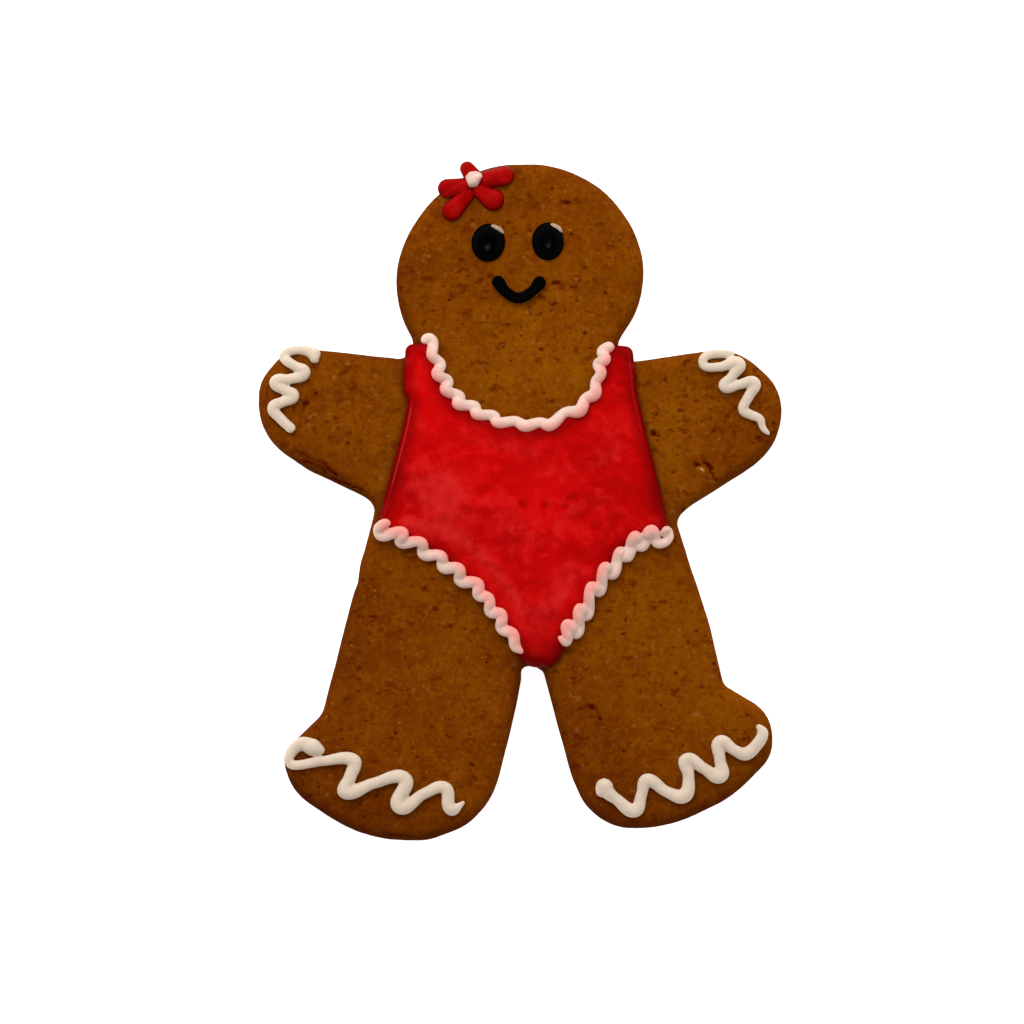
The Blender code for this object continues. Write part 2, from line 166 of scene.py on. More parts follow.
# Marks that the baked top shows: dark flecks and holes, the holes' darkness partly painted shade
PITS = rows(
    Pit,
    # head
    (-23.2, 53.0, 1.0, 0.7, 30, 0.25, 0.72), (-21.2, 61.1, 0.9, 0.6, -20, 0.25, 0.64),
    (-16.8, 47.9, 1.0, 0.8, 50, 0.30, 0.72), (-12.1, 53.7, 0.9, 0.7, 10, 0.25, 0.64),
    (-13.7, 59.3, 0.8, 0.6, -40, 0.20, 0.56), (-18.0, 51.1, 0.7, 0.6, 0, 0.20, 0.56),
    (10.9, 71.1, 2.9, 1.2, -6, 0.16, 1.0), (13.6, 70.9, 2.4, 0.9, 4, 0.12, 0.48),
    (8.5, 52.1, 2.6, 1.3, 6, 0.12, 1.0), (10.6, 51.9, 1.8, 0.7, -8, 0.06, 0.36),
    (-2.7, 66.2, 1.0, 0.6, 40, 0.15, 0.48), (-0.7, 75.0, 1.3, 0.5, -35, 0.10, 0.4),
    (3.4, 43.0, 0.8, 0.6, 0, 0.2, 0.56), (13.5, 47.6, 1.1, 0.6, 10, 0.14, 0.48),
    (14.6, 56.3, 1.0, 0.6, 35, 0.16, 0.48), (2.5, 57.4, 1.2, 0.8, 30, 0.10, 0.4),
    (5.0, 36.2, 0.7, 0.7, 0, 0.25, 0.72), (-3.9, 36.9, 0.6, 0.6, 0, 0.25, 0.72),
    (18.3, 52.0, 0.8, 0.6, 60, 0.15, 0.48), (24.5, 58.6, 1.0, 0.6, 0, 0.15, 0.48),
    # right arm
    (31.6, 16.4, 1.9, 1.7, -20, 0.45, 1.0), (32.7, 15.8, 1.6, 0.7, -10, 0.25, 0.72),
    (36.5, 7.1, 1.2, 0.8, 0, 0.25, 0.64), (51.0, 22.4, 1.0, 0.8, 20, 0.25, 0.64),
    (45.8, 16.8, 0.9, 0.5, 10, 0.15, 0.48), (35.7, 26.0, 0.9, 0.6, 30, 0.12, 0.48),
    (60.0, 18.7, 1.3, 0.9, 30, 0.3, 0.72), (56.4, 15.3, 1.5, 0.8, 10, 0.3, 0.72),
    (55.2, 14.1, 1.0, 0.7, 0, 0.25, 0.64), (60.7, 25.0, 1.0, 0.6, 60, 0.2, 0.56),
    (59.3, 22.6, 0.9, 0.7, 40, 0.2, 0.64), (48.5, 19.1, 0.9, 0.6, 0, 0.2, 0.56),
    (50.7, 16.8, 1.0, 0.6, 20, 0.2, 0.56), (45.2, 21.8, 0.8, 0.5, 0, 0.15, 0.48),
    (56.8, 22.5, 0.9, 0.7, 0, 0.2, 0.56), (42.0, 8.9, 1.7, 0.9, -20, 0.45, 1.0),
    (44.9, 8.7, 1.3, 0.7, -60, 0.4, 1.0),
    # left arm
    (-50.7, 23.4, 2.3, 1.5, 40, 0.25, 1.0), (-51.3, 21.9, 1.2, 0.8, -20, 0.2, 0.56),
    (-48.4, 25.8, 1.4, 1.1, 0, 0.2, 0.8), (-49.6, 24.9, 0.8, 0.5, 30, 0.15, 0.48),
    (-40.9, 14.1, 1.3, 1.1, 0, 0.15, 0.65), (-37.7, 12.4, 1.1, 0.7, -30, 0.16, 0.56),
    (-43.1, 17.7, 0.9, 0.6, 20, 0.15, 0.56), (-47.8, 24.8, 0.8, 0.6, 0, 0.15, 0.48),
    (-35.1, 29.4, 1.0, 0.6, 25, 0.12, 0.48),
    # right leg
    (25.1, -27.8, 1.1, 0.7, 60, 0.3, 0.72), (24.8, -31.3, 1.2, 0.6, 80, 0.25, 0.72),
    (26.4, -36.8, 1.0, 0.7, 30, 0.25, 0.64), (15.7, -39.5, 0.9, 0.7, 0, 0.25, 0.64),
    (19.2, -34.4, 1.0, 0.6, 70, 0.2, 0.64), (14.3, -48.9, 1.3, 0.8, 0, 0.2, 0.72),
    (16.9, -48.4, 2.6, 1.4, -20, 0.25, 1.0), (18.9, -51.0, 1.9, 1.0, -45, 0.2, 0.9),
    (18.3, -49.6, 1.6, 0.6, -60, 0.1, 0.7), (15.7, -48.5, 1.3, 0.5, 5, 0.1, 0.6),
    (19.6, -52.4, 1.0, 0.5, -80, 0.1, 0.5), (17.0, -50.8, 1.2, 0.7, 10, 0.2, 0.64),
    # left foot and leg
    (-42.6, -54.0, 1.6, 0.7, 0, 0.2, 0.64), (-40.2, -53.9, 1.5, 0.6, 10, 0.2, 0.56),
    (-36.6, -51.8, 1.1, 0.7, 20, 0.25, 0.64), (-30.4, -55.8, 1.2, 0.7, 0, 0.25, 0.72),
    (-25.2, -58.2, 1.0, 0.8, 30, 0.25, 0.64), (-24.3, -60.3, 1.0, 0.7, -20, 0.2, 0.64),
    (-34.6, -61.5, 1.0, 0.6, 0, 0.2, 0.64), (-16.6, -51.4, 0.9, 0.7, 0, 0.2, 0.64),
    (-13.1, -48.5, 0.9, 0.6, 40, 0.2, 0.56), (-11.9, -55.0, 0.9, 0.7, 0, 0.2, 0.64),
)
# Pale crumbs that stand a little proud, so that their depth is negative
CRUMBS = rows(
    Pit,
    (43.1, 7.8, 1.6, 0.6, -40, -0.25, 0.9), (47.1, 15.0, 0.6, 0.5, 60, -0.06, 0.4),
    (-49.6, 20.2, 0.7, 0.5, 20, -0.06, 0.6), (-48.6, 20.8, 0.6, 0.4, 0, -0.06, 0.45),
    (-51.0, 19.2, 0.6, 0.5, 0, -0.06, 0.35), (-44.1, 29.6, 0.6, 0.5, 60, -0.06, 0.6),
    (41.8, -50.2, 0.8, 0.6, 20, -0.08, 0.55), (-19.2, 60.0, 0.7, 0.5, 0, -0.04, 0.3),
    (-21.9, -44.3, 0.6, 0.5, 0, -0.04, 0.3), (20.9, -37.5, 0.6, 0.5, 40, -0.04, 0.3),
)


class Crack(NamedTuple):
    """A split in the baked top along a few straight runs."""

    places: tuple[Place, ...]
    width: float
    depth: float
    darkness: float


# Splits in the top, whose darkness is painted shade inside them
CRACKS = rows(
    Crack,
    (((-9.4, 42.5), (-8.1, 42.6), (-6.9, 42.4), (-5.7, 42.4), (-4.5, 41.9), (-3.3, 42.1),
     (-2.1, 42.1), (-0.9, 41.8), (0.7, 41.5)), 0.26, 0.14, 0.42),
    (((43.6, 9.4), (44.3, 9.2), (44.8, 8.4), (45.5, 8.0)), 0.75, 0.5, 1.0),
    (((44.9, 8.3), (45.2, 7.0), (45.9, 6.6), (45.8, 5.8), (46.7, 5.3)), 0.45, 0.45, 0.95),
    (((-30.8, -78.6), (-28.5, -78.8), (-25.8, -78.7)), 0.35, 0.3, 0.9),
    (((-46.5, 9.5), (-45.8, 8.6), (-44.9, 7.5), (-44.0, 7.1), (-43.3, 6.4)), 0.7, 0.3, 1.0),
    (((-51.4, 9.5), (-49.9, 9.7), (-48.1, 8.8), (-46.7, 8.2), (-46.1, 7.2)), 0.5, 0.2, 0.9),
    (((-44.5, 5.9), (-42.7, 5.0), (-40.9, 4.4), (-40.3, 4.2)), 0.7, 0.2, 0.9),
    (((-39.8, 3.7), (-38.7, 3.8), (-37.8, 3.3), (-36.9, 3.0)), 0.6, 0.2, 0.8),
    (((-53.4, 12.4), (-51.6, 11.5), (-49.9, 10.6), (-48.1, 10.0), (-46.9, 9.6)), 0.9, 0.1, 0.5),
    (((27.1, -24.1), (27.3, -25.6), (26.9, -26.8), (27.2, -27.9)), 0.3, 0.2, 0.5),
)


class Stroke(NamedTuple):
    """A soft stroke of a shade along a few straight runs."""

    places: tuple[Place, ...]
    reach: float
    strength: float


# Where the edges are darkest: partly browned by the oven, partly painted shade, most towards the
# feet
SCORCHES_AND_SHADE = rows(
    Tint,
    (-31.0, 44.0, 13.0, 0.7), (-49.0, 6.0, 10.0, 0.8), (-38.0, 0.0, 7.0, 0.5),
    (53.0, 7.0, 11.0, 0.5), (-52.0, -70.0, 12.0, 1.0), (-34.0, -80.0, 15.0, 1.0),
    (-14.0, -79.0, 11.0, 0.8), (18.0, -76.0, 11.0, 0.8), (36.0, -78.0, 14.0, 1.0),
    (55.0, -67.0, 11.0, 0.6), (-44.0, -38.0, 14.0, 0.5), (-40.0, -20.0, 9.0, 0.4),
    (3.0, -42.0, 7.0, 0.6),
)
# Where the crust is more golden, or redder and darker where the strength is negative: partly its
# own bake, partly painted light, lighter by the chin and darker towards the feet
TONES_AND_PAINTED_LIGHT = rows(
    Tint,
    (-8.0, 72.0, 10.0, -0.3), (46.0, 24.0, 18.0, 0.3), (33.0, 20.0, 6.0, 0.6),
    (36.0, -36.0, 17.0, 0.3), (-36.0, -30.0, 16.0, -0.25), (-35.0, 27.0, 9.0, -0.4),
    (-28.0, 60.0, 10.0, -0.4), (-57.0, 22.0, 8.0, -0.4), (54.0, 12.0, 11.0, -0.45),
    (0.0, 31.0, 11.0, 0.8), (2.0, 48.0, 12.0, 0.6), (15.0, 30.0, 7.0, 0.9),
    (26.0, 56.0, 10.0, 0.25), (-40.0, 22.0, 12.0, 0.35), (36.0, 12.0, 8.0, 0.5),
    (28.0, -28.0, 12.0, 0.35), (-18.0, -34.0, 8.0, 0.3), (48.0, -48.0, 8.0, 0.3),
    (13.0, -56.0, 12.0, -1.0), (24.0, -67.0, 11.0, -0.8), (42.0, -73.0, 9.0, -0.5),
    (-9.0, -60.0, 9.0, -0.5), (-30.0, -76.0, 14.0, -1.0), (-43.0, -66.0, 9.0, -0.5),
    (-46.0, -41.0, 8.0, -0.6), (-40.0, -19.0, 7.0, -0.6), (-1.0, -38.0, 7.0, -0.5),
    (-46.0, 6.0, 6.0, -0.4),
)
# Where the crust's edge is crazed by fine cracks that run along it, drawn as dark lines of painted
# shade
CRAZED = rows(
    Stroke,
    (((-52.5, 11.8), (-47.0, 8.4), (-42.0, 5.6), (-37.6, 3.2)), 1.3, 1.0),
    (((-49.0, 8.3), (-43.0, 4.9), (-38.0, 1.9)), 1.0, 0.7),
    (((-30.8, -78.6), (-25.8, -78.7)), 0.9, 0.6),
)
# Patches of painted shade on the red icing, and patches where it is brighter
PAINTED_SHADE_PATCHES = rows(
    Tint,
    (5.0, -37.0, 8.0, 1.0), (31.0, 2.0, 8.0, 0.45), (26.0, 33.0, 5.0, 0.25),
    (-31.0, 6.0, 6.0, 0.6), (3.0, 13.0, 6.0, 0.25),
)
BRIGHT_RED = rows(
    Tint,
    (4.0, 5.0, 8.0, 0.7), (6.0, -14.0, 5.0, 0.5), (27.0, 7.0, 6.0, 0.4),
    (-24.5, 31.0, 4.5, 1.0), (-21.0, 20.0, 6.0, 0.8), (22.5, 19.0, 5.0, 0.6),
    (-14.0, 8.0, 8.0, 0.5),
)
# Where the red icing is paler and a little proud of the rest: partly paler icing, partly painted
# sheen
BLOOMS_AND_SHEEN = rows(
    Stroke,
    (((-22.0, 4.0), (-17.0, -2.0), (-17.0, 4.0)), 5.2, 0.75),
    (((-27.0, -4.6), (-19.5, -6.0), (-12.5, -9.4), (-5.3, -16.7), (0.3, -25.5)), 1.7, 0.80),
    (((-14.1, 15.7), (-5.3, 13.7), (3.4, 12.1)), 1.4, 0.40),
    (((22.5, 18.5), (21.5, 13.0)), 3.6, 0.45),
    (((21.0, 11.0), (13.0, 8.2), (7.0, 7.2)), 1.5, 0.35),
    (((18.5, 1.2), (12.0, -2.6), (8.5, -6.5)), 1.6, 0.35),
    (((12.2, -16.0), (9.0, -21.5), (4.5, -27.0)), 3.0, 0.6),
    (((4.6, -12.9), (6.2, -12.5)), 0.5, 0.9), (((11.0, -1.6), (13.6, -0.4)), 0.5, 0.5),
    (((1.0, -8.0), (-4.0, -3.0)), 4.5, 0.40), (((-24.0, 19.5), (-22.0, 16.0)), 2.5, 0.35),
)
# Where a painted highlight runs as a thin pale line just inside the red icing's rounded edge
GLEAMS = rows(
    Stroke,
    (((-27.0, 21.5), (-28.9, 14.0), (-31.0, 6.0)), 2.0, 0.95),
    (((-31.6, 3.6), (-33.0, -2.0)), 1.5, 0.3),
    (((26.9, 35.0), (27.7, 25.5), (29.3, 19.0)), 2.0, 0.32),
)
# Shallow dimples of the red icing, darkened by painted shade, and blisters, whose depth is negative
DIMPLES = rows(
    Pit,
    (0.6, -0.6, 1.8, 1.6, 0, 0.22, 0.75), (5.9, -0.6, 1.7, 1.6, 0, 0.22, 0.75),
    (12.4, 1.2, 3.0, 1.5, 25, 0.22, 0.7), (10.6, -0.9, 2.0, 1.2, -30, 0.18, 0.6),
    (5.2, -11.4, 2.0, 0.9, -20, 0.10, 0.6), (5.6, -12.7, 1.7, 1.2, 0, -0.16, 0.0),
    (-4.6, 6.6, 1.2, 1.0, 0, -0.10, 0.0), (6.6, 11.9, 1.3, 1.0, 0, 0.10, 0.2),
    (-21.0, 12.6, 2.4, 0.9, 35, -0.08, 0.0),
)

# Where the middle of each piped line turns, and how wide it is there
ZIGZAGS: dict[str, tuple[Corner, ...]] = {
    "zigzag_left_hand": (
        (-47.8, 33.2, 1.3), (-48.5, 34.0, 2.5), (-48.8, 35.1, 3.3), (-50.7, 35.9, 2.5),
        (-52.7, 36.1, 2.2), (-55.0, 35.5, 2.2), (-55.8, 34.3, 2.5), (-53.5, 32.4, 2.4),
        (-51.0, 30.7, 3.0), (-54.4, 29.2, 2.5), (-57.9, 28.5, 2.9), (-55.6, 26.6, 2.6),
        (-53.6, 25.2, 2.9), (-56.0, 23.9, 2.6), (-58.4, 22.4, 2.9), (-56.7, 19.9, 2.5),
        (-53.5, 16.9, 2.4),
    ),
    "zigzag_right_hand": (
        (50.7, 34.8, 2.2), (47.1, 35.2, 2.2), (43.7, 34.4, 2.2), (43.6, 32.3, 2.1),
        (47.4, 32.1, 2.3), (51.7, 32.8, 3.2), (50.1, 29.8, 2.4), (48.4, 27.4, 2.8),
        (51.8, 27.9, 2.4), (55.5, 28.3, 2.8), (54.1, 25.1, 2.5), (52.8, 22.0, 2.5),
        (54.7, 20.7, 2.4), (56.7, 19.8, 2.1), (57.5, 17.6, 1.6), (59.0, 16.1, 1.0),
    ),
    "zigzag_left_foot": (
        (-46.3, -59.0, 2.0), (-48.9, -58.0, 4.1), (-51.9, -57.2, 3.3), (-54.7, -60.4, 2.4),
        (-53.8, -62.1, 2.3), (-46.9, -61.2, 2.4), (-39.4, -61.0, 3.2), (-40.2, -64.9, 3.1),
        (-41.2, -68.5, 3.6), (-34.5, -66.4, 2.7), (-27.2, -65.4, 3.4), (-28.6, -71.9, 3.6),
        (-22.7, -68.9, 2.7), (-17.7, -67.5, 3.0), (-16.4, -72.5, 3.2), (-13.1, -70.8, 1.0),
    ),
    "zigzag_right_foot": (
        (19.6, -69.8, 1.3), (19.4, -68.6, 3.1), (19.9, -67.0, 3.7), (20.7, -68.5, 3.4),
        (22.8, -70.2, 2.8), (27.1, -72.9, 3.4), (28.8, -69.0, 2.7), (30.1, -65.7, 3.2),
        (34.6, -68.4, 2.7), (38.9, -69.3, 3.6), (39.9, -64.8, 2.8), (39.4, -60.9, 3.3),
        (43.6, -63.0, 2.8), (47.4, -64.7, 3.5), (47.3, -60.7, 2.8), (47.3, -56.7, 3.3),
        (50.7, -58.6, 2.7), (53.4, -59.5, 3.2), (56.2, -57.1, 2.9), (57.4, -54.6, 2.7),
        (56.1, -52.6, 1.3),
    ),
}
SMILE: tuple[Corner, ...] = (
    (-6.1, 53.4, 2.9), (-5.2, 52.2, 3.1), (-3.3, 49.8, 2.6), (-0.3, 48.4, 2.7),
    (2.8, 49.9, 2.6), (4.7, 52.1, 3.1), (5.6, 53.2, 2.9),
)
TRIMS: dict[str, tuple[Corner, ...]] = {
    "trim_neckline": (
        (-22.6, 37.7, 2.1), (-22.3, 38.7, 2.3), (-21.3, 38.9, 2.4), (-20.5, 38.0, 2.4),
        (-20.7, 36.3, 2.8), (-20.8, 34.7, 2.6), (-18.7, 32.6, 2.6), (-19.7, 30.3, 2.6),
        (-17.0, 28.7, 2.7), (-17.7, 26.6, 2.6), (-14.2, 25.0, 2.7), (-14.8, 23.3, 2.7),
        (-10.7, 22.7, 2.7), (-10.3, 20.9, 2.7), (-6.2, 20.5, 2.6), (-5.4, 18.9, 2.7),
        (-1.1, 19.2, 2.6), (1.2, 18.1, 3.0), (4.8, 18.9, 2.6), (7.1, 18.3, 3.0),
        (10.8, 21.3, 2.6), (14.1, 21.7, 3.1), (15.5, 24.5, 2.7), (17.7, 25.7, 3.0),
        (17.9, 28.4, 2.6), (19.2, 30.7, 2.7), (18.4, 32.8, 2.5), (20.3, 33.8, 2.5),
        (19.3, 35.6, 2.5), (20.7, 36.6, 2.8), (22.1, 37.0, 2.4),
    ),
    "trim_left_leg": (
        (-31.0, -5.7, 2.1), (-31.9, -5.0, 2.5), (-33.4, -6.4, 2.7), (-32.6, -7.8, 2.9),
        (-27.7, -7.0, 2.6), (-28.2, -9.3, 3.0), (-23.3, -9.4, 2.5), (-22.7, -12.2, 3.0),
        (-18.6, -12.6, 2.5), (-18.0, -15.3, 3.1), (-14.3, -15.6, 2.5), (-14.0, -18.5, 3.1),
        (-9.9, -19.1, 2.5), (-9.7, -21.8, 3.1), (-7.3, -22.6, 2.5), (-6.9, -25.8, 3.0),
        (-4.3, -26.4, 2.5), (-4.3, -29.7, 3.0), (-1.7, -31.1, 2.8), (-1.1, -33.9, 2.8),
        (0.7, -35.6, 1.2),
    ),
    "trim_right_leg": (
        (34.0, -8.0, 1.4), (33.9, -6.9, 1.4), (34.7, -6.2, 1.4), (35.4, -7.0, 1.6),
        (35.3, -8.5, 1.9), (34.1, -9.5, 2.3), (32.4, -9.5, 2.6), (31.0, -6.5, 2.6),
        (28.7, -10.3, 3.0), (27.2, -7.9, 2.6), (25.4, -12.7, 3.1), (23.6, -11.6, 2.5),
        (21.9, -16.9, 3.0), (20.0, -15.2, 2.5), (18.8, -20.9, 3.0), (16.8, -19.9, 2.5),
        (15.8, -26.6, 3.0), (14.0, -25.0, 2.5), (13.5, -30.9, 2.9), (11.1, -28.8, 2.5),
        (11.1, -32.9, 2.4), (9.0, -31.7, 1.1),
    ),
}
# How deep inside the suit's line each trim starts to turn pink, in mm: partly red stain, partly
# painted red reflection
PINK_START = {"trim_neckline": -1.1, "trim_left_leg": -0.9, "trim_right_leg": -0.9}
GLINTS: dict[str, tuple[Corner, ...]] = {
    "glint_left": (
        (-6.9, 65.6, 0.7), (-6.0, 65.2, 1.15), (-4.9, 64.6, 1.25), (-3.8, 63.7, 0.6),
    ),
    "glint_right": (
        (7.2, 65.9, 0.7), (8.2, 65.4, 1.2), (9.2, 64.8, 1.25), (10.0, 63.9, 0.6),
    ),
}
# Eyes are (x, y, width, length, tilt in degrees)
EYES = {
    "eye_left": (-7.5, 61.5, 8.0, 9.1, -8.0),
    "eye_right": (6.6, 61.8, 7.6, 9.0, 0.0),
}


class Drop(NamedTuple):
    """A dab of icing with a round end and a smaller one, as seen from above."""

    round_end: Place
    round_radius: float
    narrow_end: Place
    narrow_radius: float


PETALS = {
    "petal_top": Drop((-12.5, 79.1), 1.75, (-11.3, 77.4), 2.1),
    "petal_left": Drop((-17.2, 74.4), 2.3, (-13.4, 75.0), 1.9),
    "petal_bottom_left": Drop((-16.1, 69.0), 2.4, (-12.4, 73.0), 1.8),
    "petal_bottom_right": Drop((-6.4, 71.7), 2.65, (-9.6, 73.8), 1.8),
    "petal_right": Drop((-3.7, 77.4), 2.4, (-8.0, 76.5), 2.1),
}
PETAL_FOLD = Crack(((-18.8, 73.3), (-16.9, 72.9), (-15.2, 73.4), (-13.6, 74.4)), 0.45, 0.3, 0.0)
FLOWER_MIDDLE: tuple[Corner, ...] = (
    (-8.5, 77.4, 0.7), (-10.2, 78.8, 1.6), (-12.3, 78.8, 1.3), (-13.3, 77.2, 0.9),
    (-12.1, 74.5, 0.7), (-10.2, 74.5, 0.8),
)


# Plan geometry

ROUNDING_ERROR = 0.004  # how far a faceted round may cut inside the true one, in mm
FINE_STEP = 0.1  # spacing of the points that distances are measured to, in mm
CHUNK = 2000  # places tested against an outline at a time
RUN_POINTS = 12  # points on each smooth run between two turns of a line
SCATTER = 0.14  # how far a lattice's places stray, as a share of its step
BOWL_POWER = 1.3  # the larger, the sharper a pit's bottom


def left_of(direction: np.ndarray) -> np.ndarray:
    """The direction a quarter turn anticlockwise from this one."""
    return np.array((-direction[1], direction[0]))


def sideways(ahead: np.ndarray) -> np.ndarray:
    """Unit directions a quarter turn anticlockwise from these, one in each row."""
    side = np.column_stack([-ahead[:, 1], ahead[:, 0]])
    return side / np.linalg.norm(side, axis=1, keepdims=True)


def inward_of(outline: np.ndarray) -> np.ndarray:
    """Unit directions into an anticlockwise outline, one for each of its points."""
    return sideways(np.roll(outline, -1, axis=0) - np.roll(outline, 1, axis=0))


def quarter(steps: int) -> list[tuple[float, float]]:
    """The sine and the cosine of even angles from 0 to a quarter turn."""
    angles = [math.pi / 2 * k / steps for k in range(steps + 1)]
    return [(math.sin(angle), math.cos(angle)) for angle in angles]


def at_height(plan: np.ndarray, height: float | np.ndarray) -> np.ndarray:
    """Points above a plan: all of one height, or each of its own."""
    return np.column_stack([plan[:, :2], np.broadcast_to(height, len(plan))])


def rounded_path(corners: Sequence[Corner]) -> np.ndarray:
    """The points of a closed outline with rounded corners.

    Args:
        corners: The outline's corners, anticlockwise.

    Returns:
        Its points, close together on the rounds.
    """
    places = [np.array(corner[:2]) for corner in corners]
    following = places[1:] + places[:1]
    headings = [(b - a) / np.linalg.norm(b - a) for a, b in zip(places, following)]
    path = []
    for i, (place, corner) in enumerate(zip(places, corners)):
        arriving, leaving, radius = headings[i - 1], headings[i], corner[2]
        turn = math.atan2(left_of(arriving) @ leaving, arriving @ leaving)
        side = math.copysign(1.0, turn)
        start = place - arriving * radius * math.tan(abs(turn) / 2)
        centre = start + left_of(arriving) * side * radius
        step = 2 * math.acos(1 - ROUNDING_ERROR / radius)
        steps = max(1, math.ceil(abs(turn) / step))
        spoke = start - centre
        for k in range(steps + 1):
            angle = turn * k / steps
            path.append(centre + math.cos(angle) * spoke + math.sin(angle) * left_of(spoke))
    return np.array(path)


def lengths_along(path: np.ndarray) -> np.ndarray:
    """How far along a path each of its points lies."""
    steps = np.linalg.norm(np.diff(path[:, :2], axis=0), axis=1)
    return np.concatenate([[0.0], np.cumsum(steps)])


def evenly_spaced(path: np.ndarray, step: float, closed: bool = True) -> np.ndarray:
    """The path's points again, about step apart along it.

    Args:
        path: Points in any number of columns, of which the first two are the plan.
        step: The spacing aimed at, in mm.
        closed: Whether the path runs back to its first point.

    Returns:
        The evenly spaced points, without a repeat of the first one.
    """
    if closed:
        path = np.vstack([path, path[:1]])
    along = lengths_along(path)
    places = np.linspace(0.0, along[-1], max(3, round(along[-1] / step)) + 1)
    spaced = np.column_stack([np.interp(places, along, column) for column in path.T])
    return spaced[:-1] if closed else spaced


def smooth_line(turns: Sequence[Sequence[float]]) -> np.ndarray:
    """A smooth line through these places: the longer its runs, the rounder its turns.

    Args:
        turns: Rows of x, y and any further values, which pass smoothly too.

    Returns:
        The line's points, in the same columns.
    """
    places = np.array(turns, dtype=float)
    plan = places[:, :2]
    headings = np.gradient(plan, axis=0)
    headings /= np.linalg.norm(headings, axis=1, keepdims=True)
    share = np.linspace(0.0, 1.0, RUN_POINTS, endpoint=False)[:, None]
    moved = share**2 * (3 - 2 * share)
    stretches = []
    for i in range(len(places) - 1):
        run = places[i] + moved * (places[i + 1] - places[i])
        reach = np.linalg.norm(plan[i + 1] - plan[i])
        run[:, :2] += share * (1 - share) ** 2 * reach * headings[i]
        run[:, :2] += share**2 * (share - 1) * reach * headings[i + 1]
        stretches.append(run)
    return np.vstack([*stretches, places[-1:]])


def distance_to_line(points: np.ndarray, line: Sequence[Sequence[float]]) -> np.ndarray:
    """How far each point lies from a line of straight runs.

    Args:
        points: Plan points.
        line: The line's corners in plan.

    Returns:
        One distance for each point.
    """
    corners = np.array(line, dtype=float)
    found = np.full(len(points), np.inf)
    for start, end in zip(corners[:-1], corners[1:]):
        run = end - start
        share = np.clip((points - start) @ run / (run @ run), 0.0, 1.0)
        found = np.minimum(found, np.linalg.norm(points - start - share[:, None] * run, axis=1))
    return found


def smoothstep(values: np.ndarray, low: float, high: float) -> np.ndarray:
    """0 up to low, 1 from high on, and smooth between them."""
    share = np.clip((values - low) / (high - low), 0.0, 1.0)
    return share**2 * (3 - 2 * share)


def search_tree(plan: np.ndarray) -> kdtree.KDTree:
    """A search tree of plan points.

    Args:
        plan: The points, in two columns.

    Returns:
        The tree, ready to search.
    """
    tree = kdtree.KDTree(len(plan))
    for i, (x, y) in enumerate(plan):
        tree.insert((x, y, 0.0), i)
    tree.balance()
    return tree


def nearest(tree: kdtree.KDTree, points: np.ndarray) -> np.ndarray:
    """How far from each point the nearest one in the tree lies, in plan."""
    return np.array([tree.find((x, y, 0.0))[2] for x, y in points[:, :2]])


class Region:
    """A closed outline that can tell how far inside it a place lies."""

    def __init__(self, outline: np.ndarray) -> None:
        """Keeps the outline, anticlockwise, and a search tree of close points on it."""
        self.outline = outline
        self.tree = search_tree(evenly_spaced(outline, FINE_STEP))

    @classmethod
    def within(cls, corners: Sequence[Corner], step: float) -> Region:
        """The region inside these rounded corners, with points a step apart round it."""
        return cls(evenly_spaced(rounded_path(corners), step))

    def holds(self, points: np.ndarray) -> np.ndarray:
        """Whether each point lies inside the outline.

        Args:
            points: Plan points.

        Returns:
            A truth value for each point.
        """
        starts = self.outline
        runs = np.roll(starts, -1, axis=0) - starts
        ends = starts + runs
        rise = np.where(runs[:, 1] == 0.0, 1.0, runs[:, 1])
        found = []
        for first in range(0, len(points), CHUNK):
            x = points[first : first + CHUNK, 0, None]
            y = points[first : first + CHUNK, 1, None]
            spans = (starts[:, 1] > y) != (ends[:, 1] > y)
            crossing = starts[:, 0] + runs[:, 0] * (y - starts[:, 1]) / rise
            found.append((spans & (x < crossing)).sum(axis=1) % 2 == 1)
        return np.concatenate(found)

    def depth(self, points: np.ndarray) -> np.ndarray:
        """How far inside the outline each point lies, negative outside it."""
        distance = nearest(self.tree, points)
        return np.where(self.holds(points), distance, -distance)

    def lattice(self, step: float, border: float, draw: np.random.Generator) -> np.ndarray:
        """Scattered places inside the outline, about step apart.

        Args:
            step: The spacing, in mm.
            border: How far from the outline the places stay, in mm.
            draw: The source of the small random shifts.

        Returns:
            The places.
        """
        low, high = self.outline.min(axis=0), self.outline.max(axis=0)
        levels = np.arange(low[1], high[1], step * math.sqrt(0.75))
        x, y = np.meshgrid(np.arange(low[0], high[0], step), levels)
        x = x + np.where(np.arange(len(levels)) % 2 == 0, 0.0, step / 2)[:, None]
        places = np.column_stack([x.ravel(), y.ravel()])
        places += draw.uniform(-SCATTER, SCATTER, places.shape) * step
        return places[self.depth(places) > border]


def filled(ring: np.ndarray, inner: np.ndarray) -> np.ndarray:
    """Triangles that fill a ring by way of the places inside it.

    Args:
        ring: The ring's plan points, anticlockwise.
        inner: Places inside the ring.

    Returns:
        Rows of three indices into the ring's points followed by the inner ones.
    """
    places = np.vstack([ring, inner])
    count = len(ring)
    corners = [Vector(place) for place in places.tolist()]
    found = geometry.delaunay_2d_cdt(corners, [], [list(range(count))], 1, 1e-7)
    origins = [origin[0] for origin in found[3]]
    faces = np.array([[origins[i] for i in face] for face in found[2]])
    a, b, c = (places[faces[:, i]] for i in range(3))
    turned = (b - a)[:, 0] * (c - a)[:, 1] - (b - a)[:, 1] * (c - a)[:, 0] < 0
    faces[turned] = faces[turned][:, ::-1]
    return faces


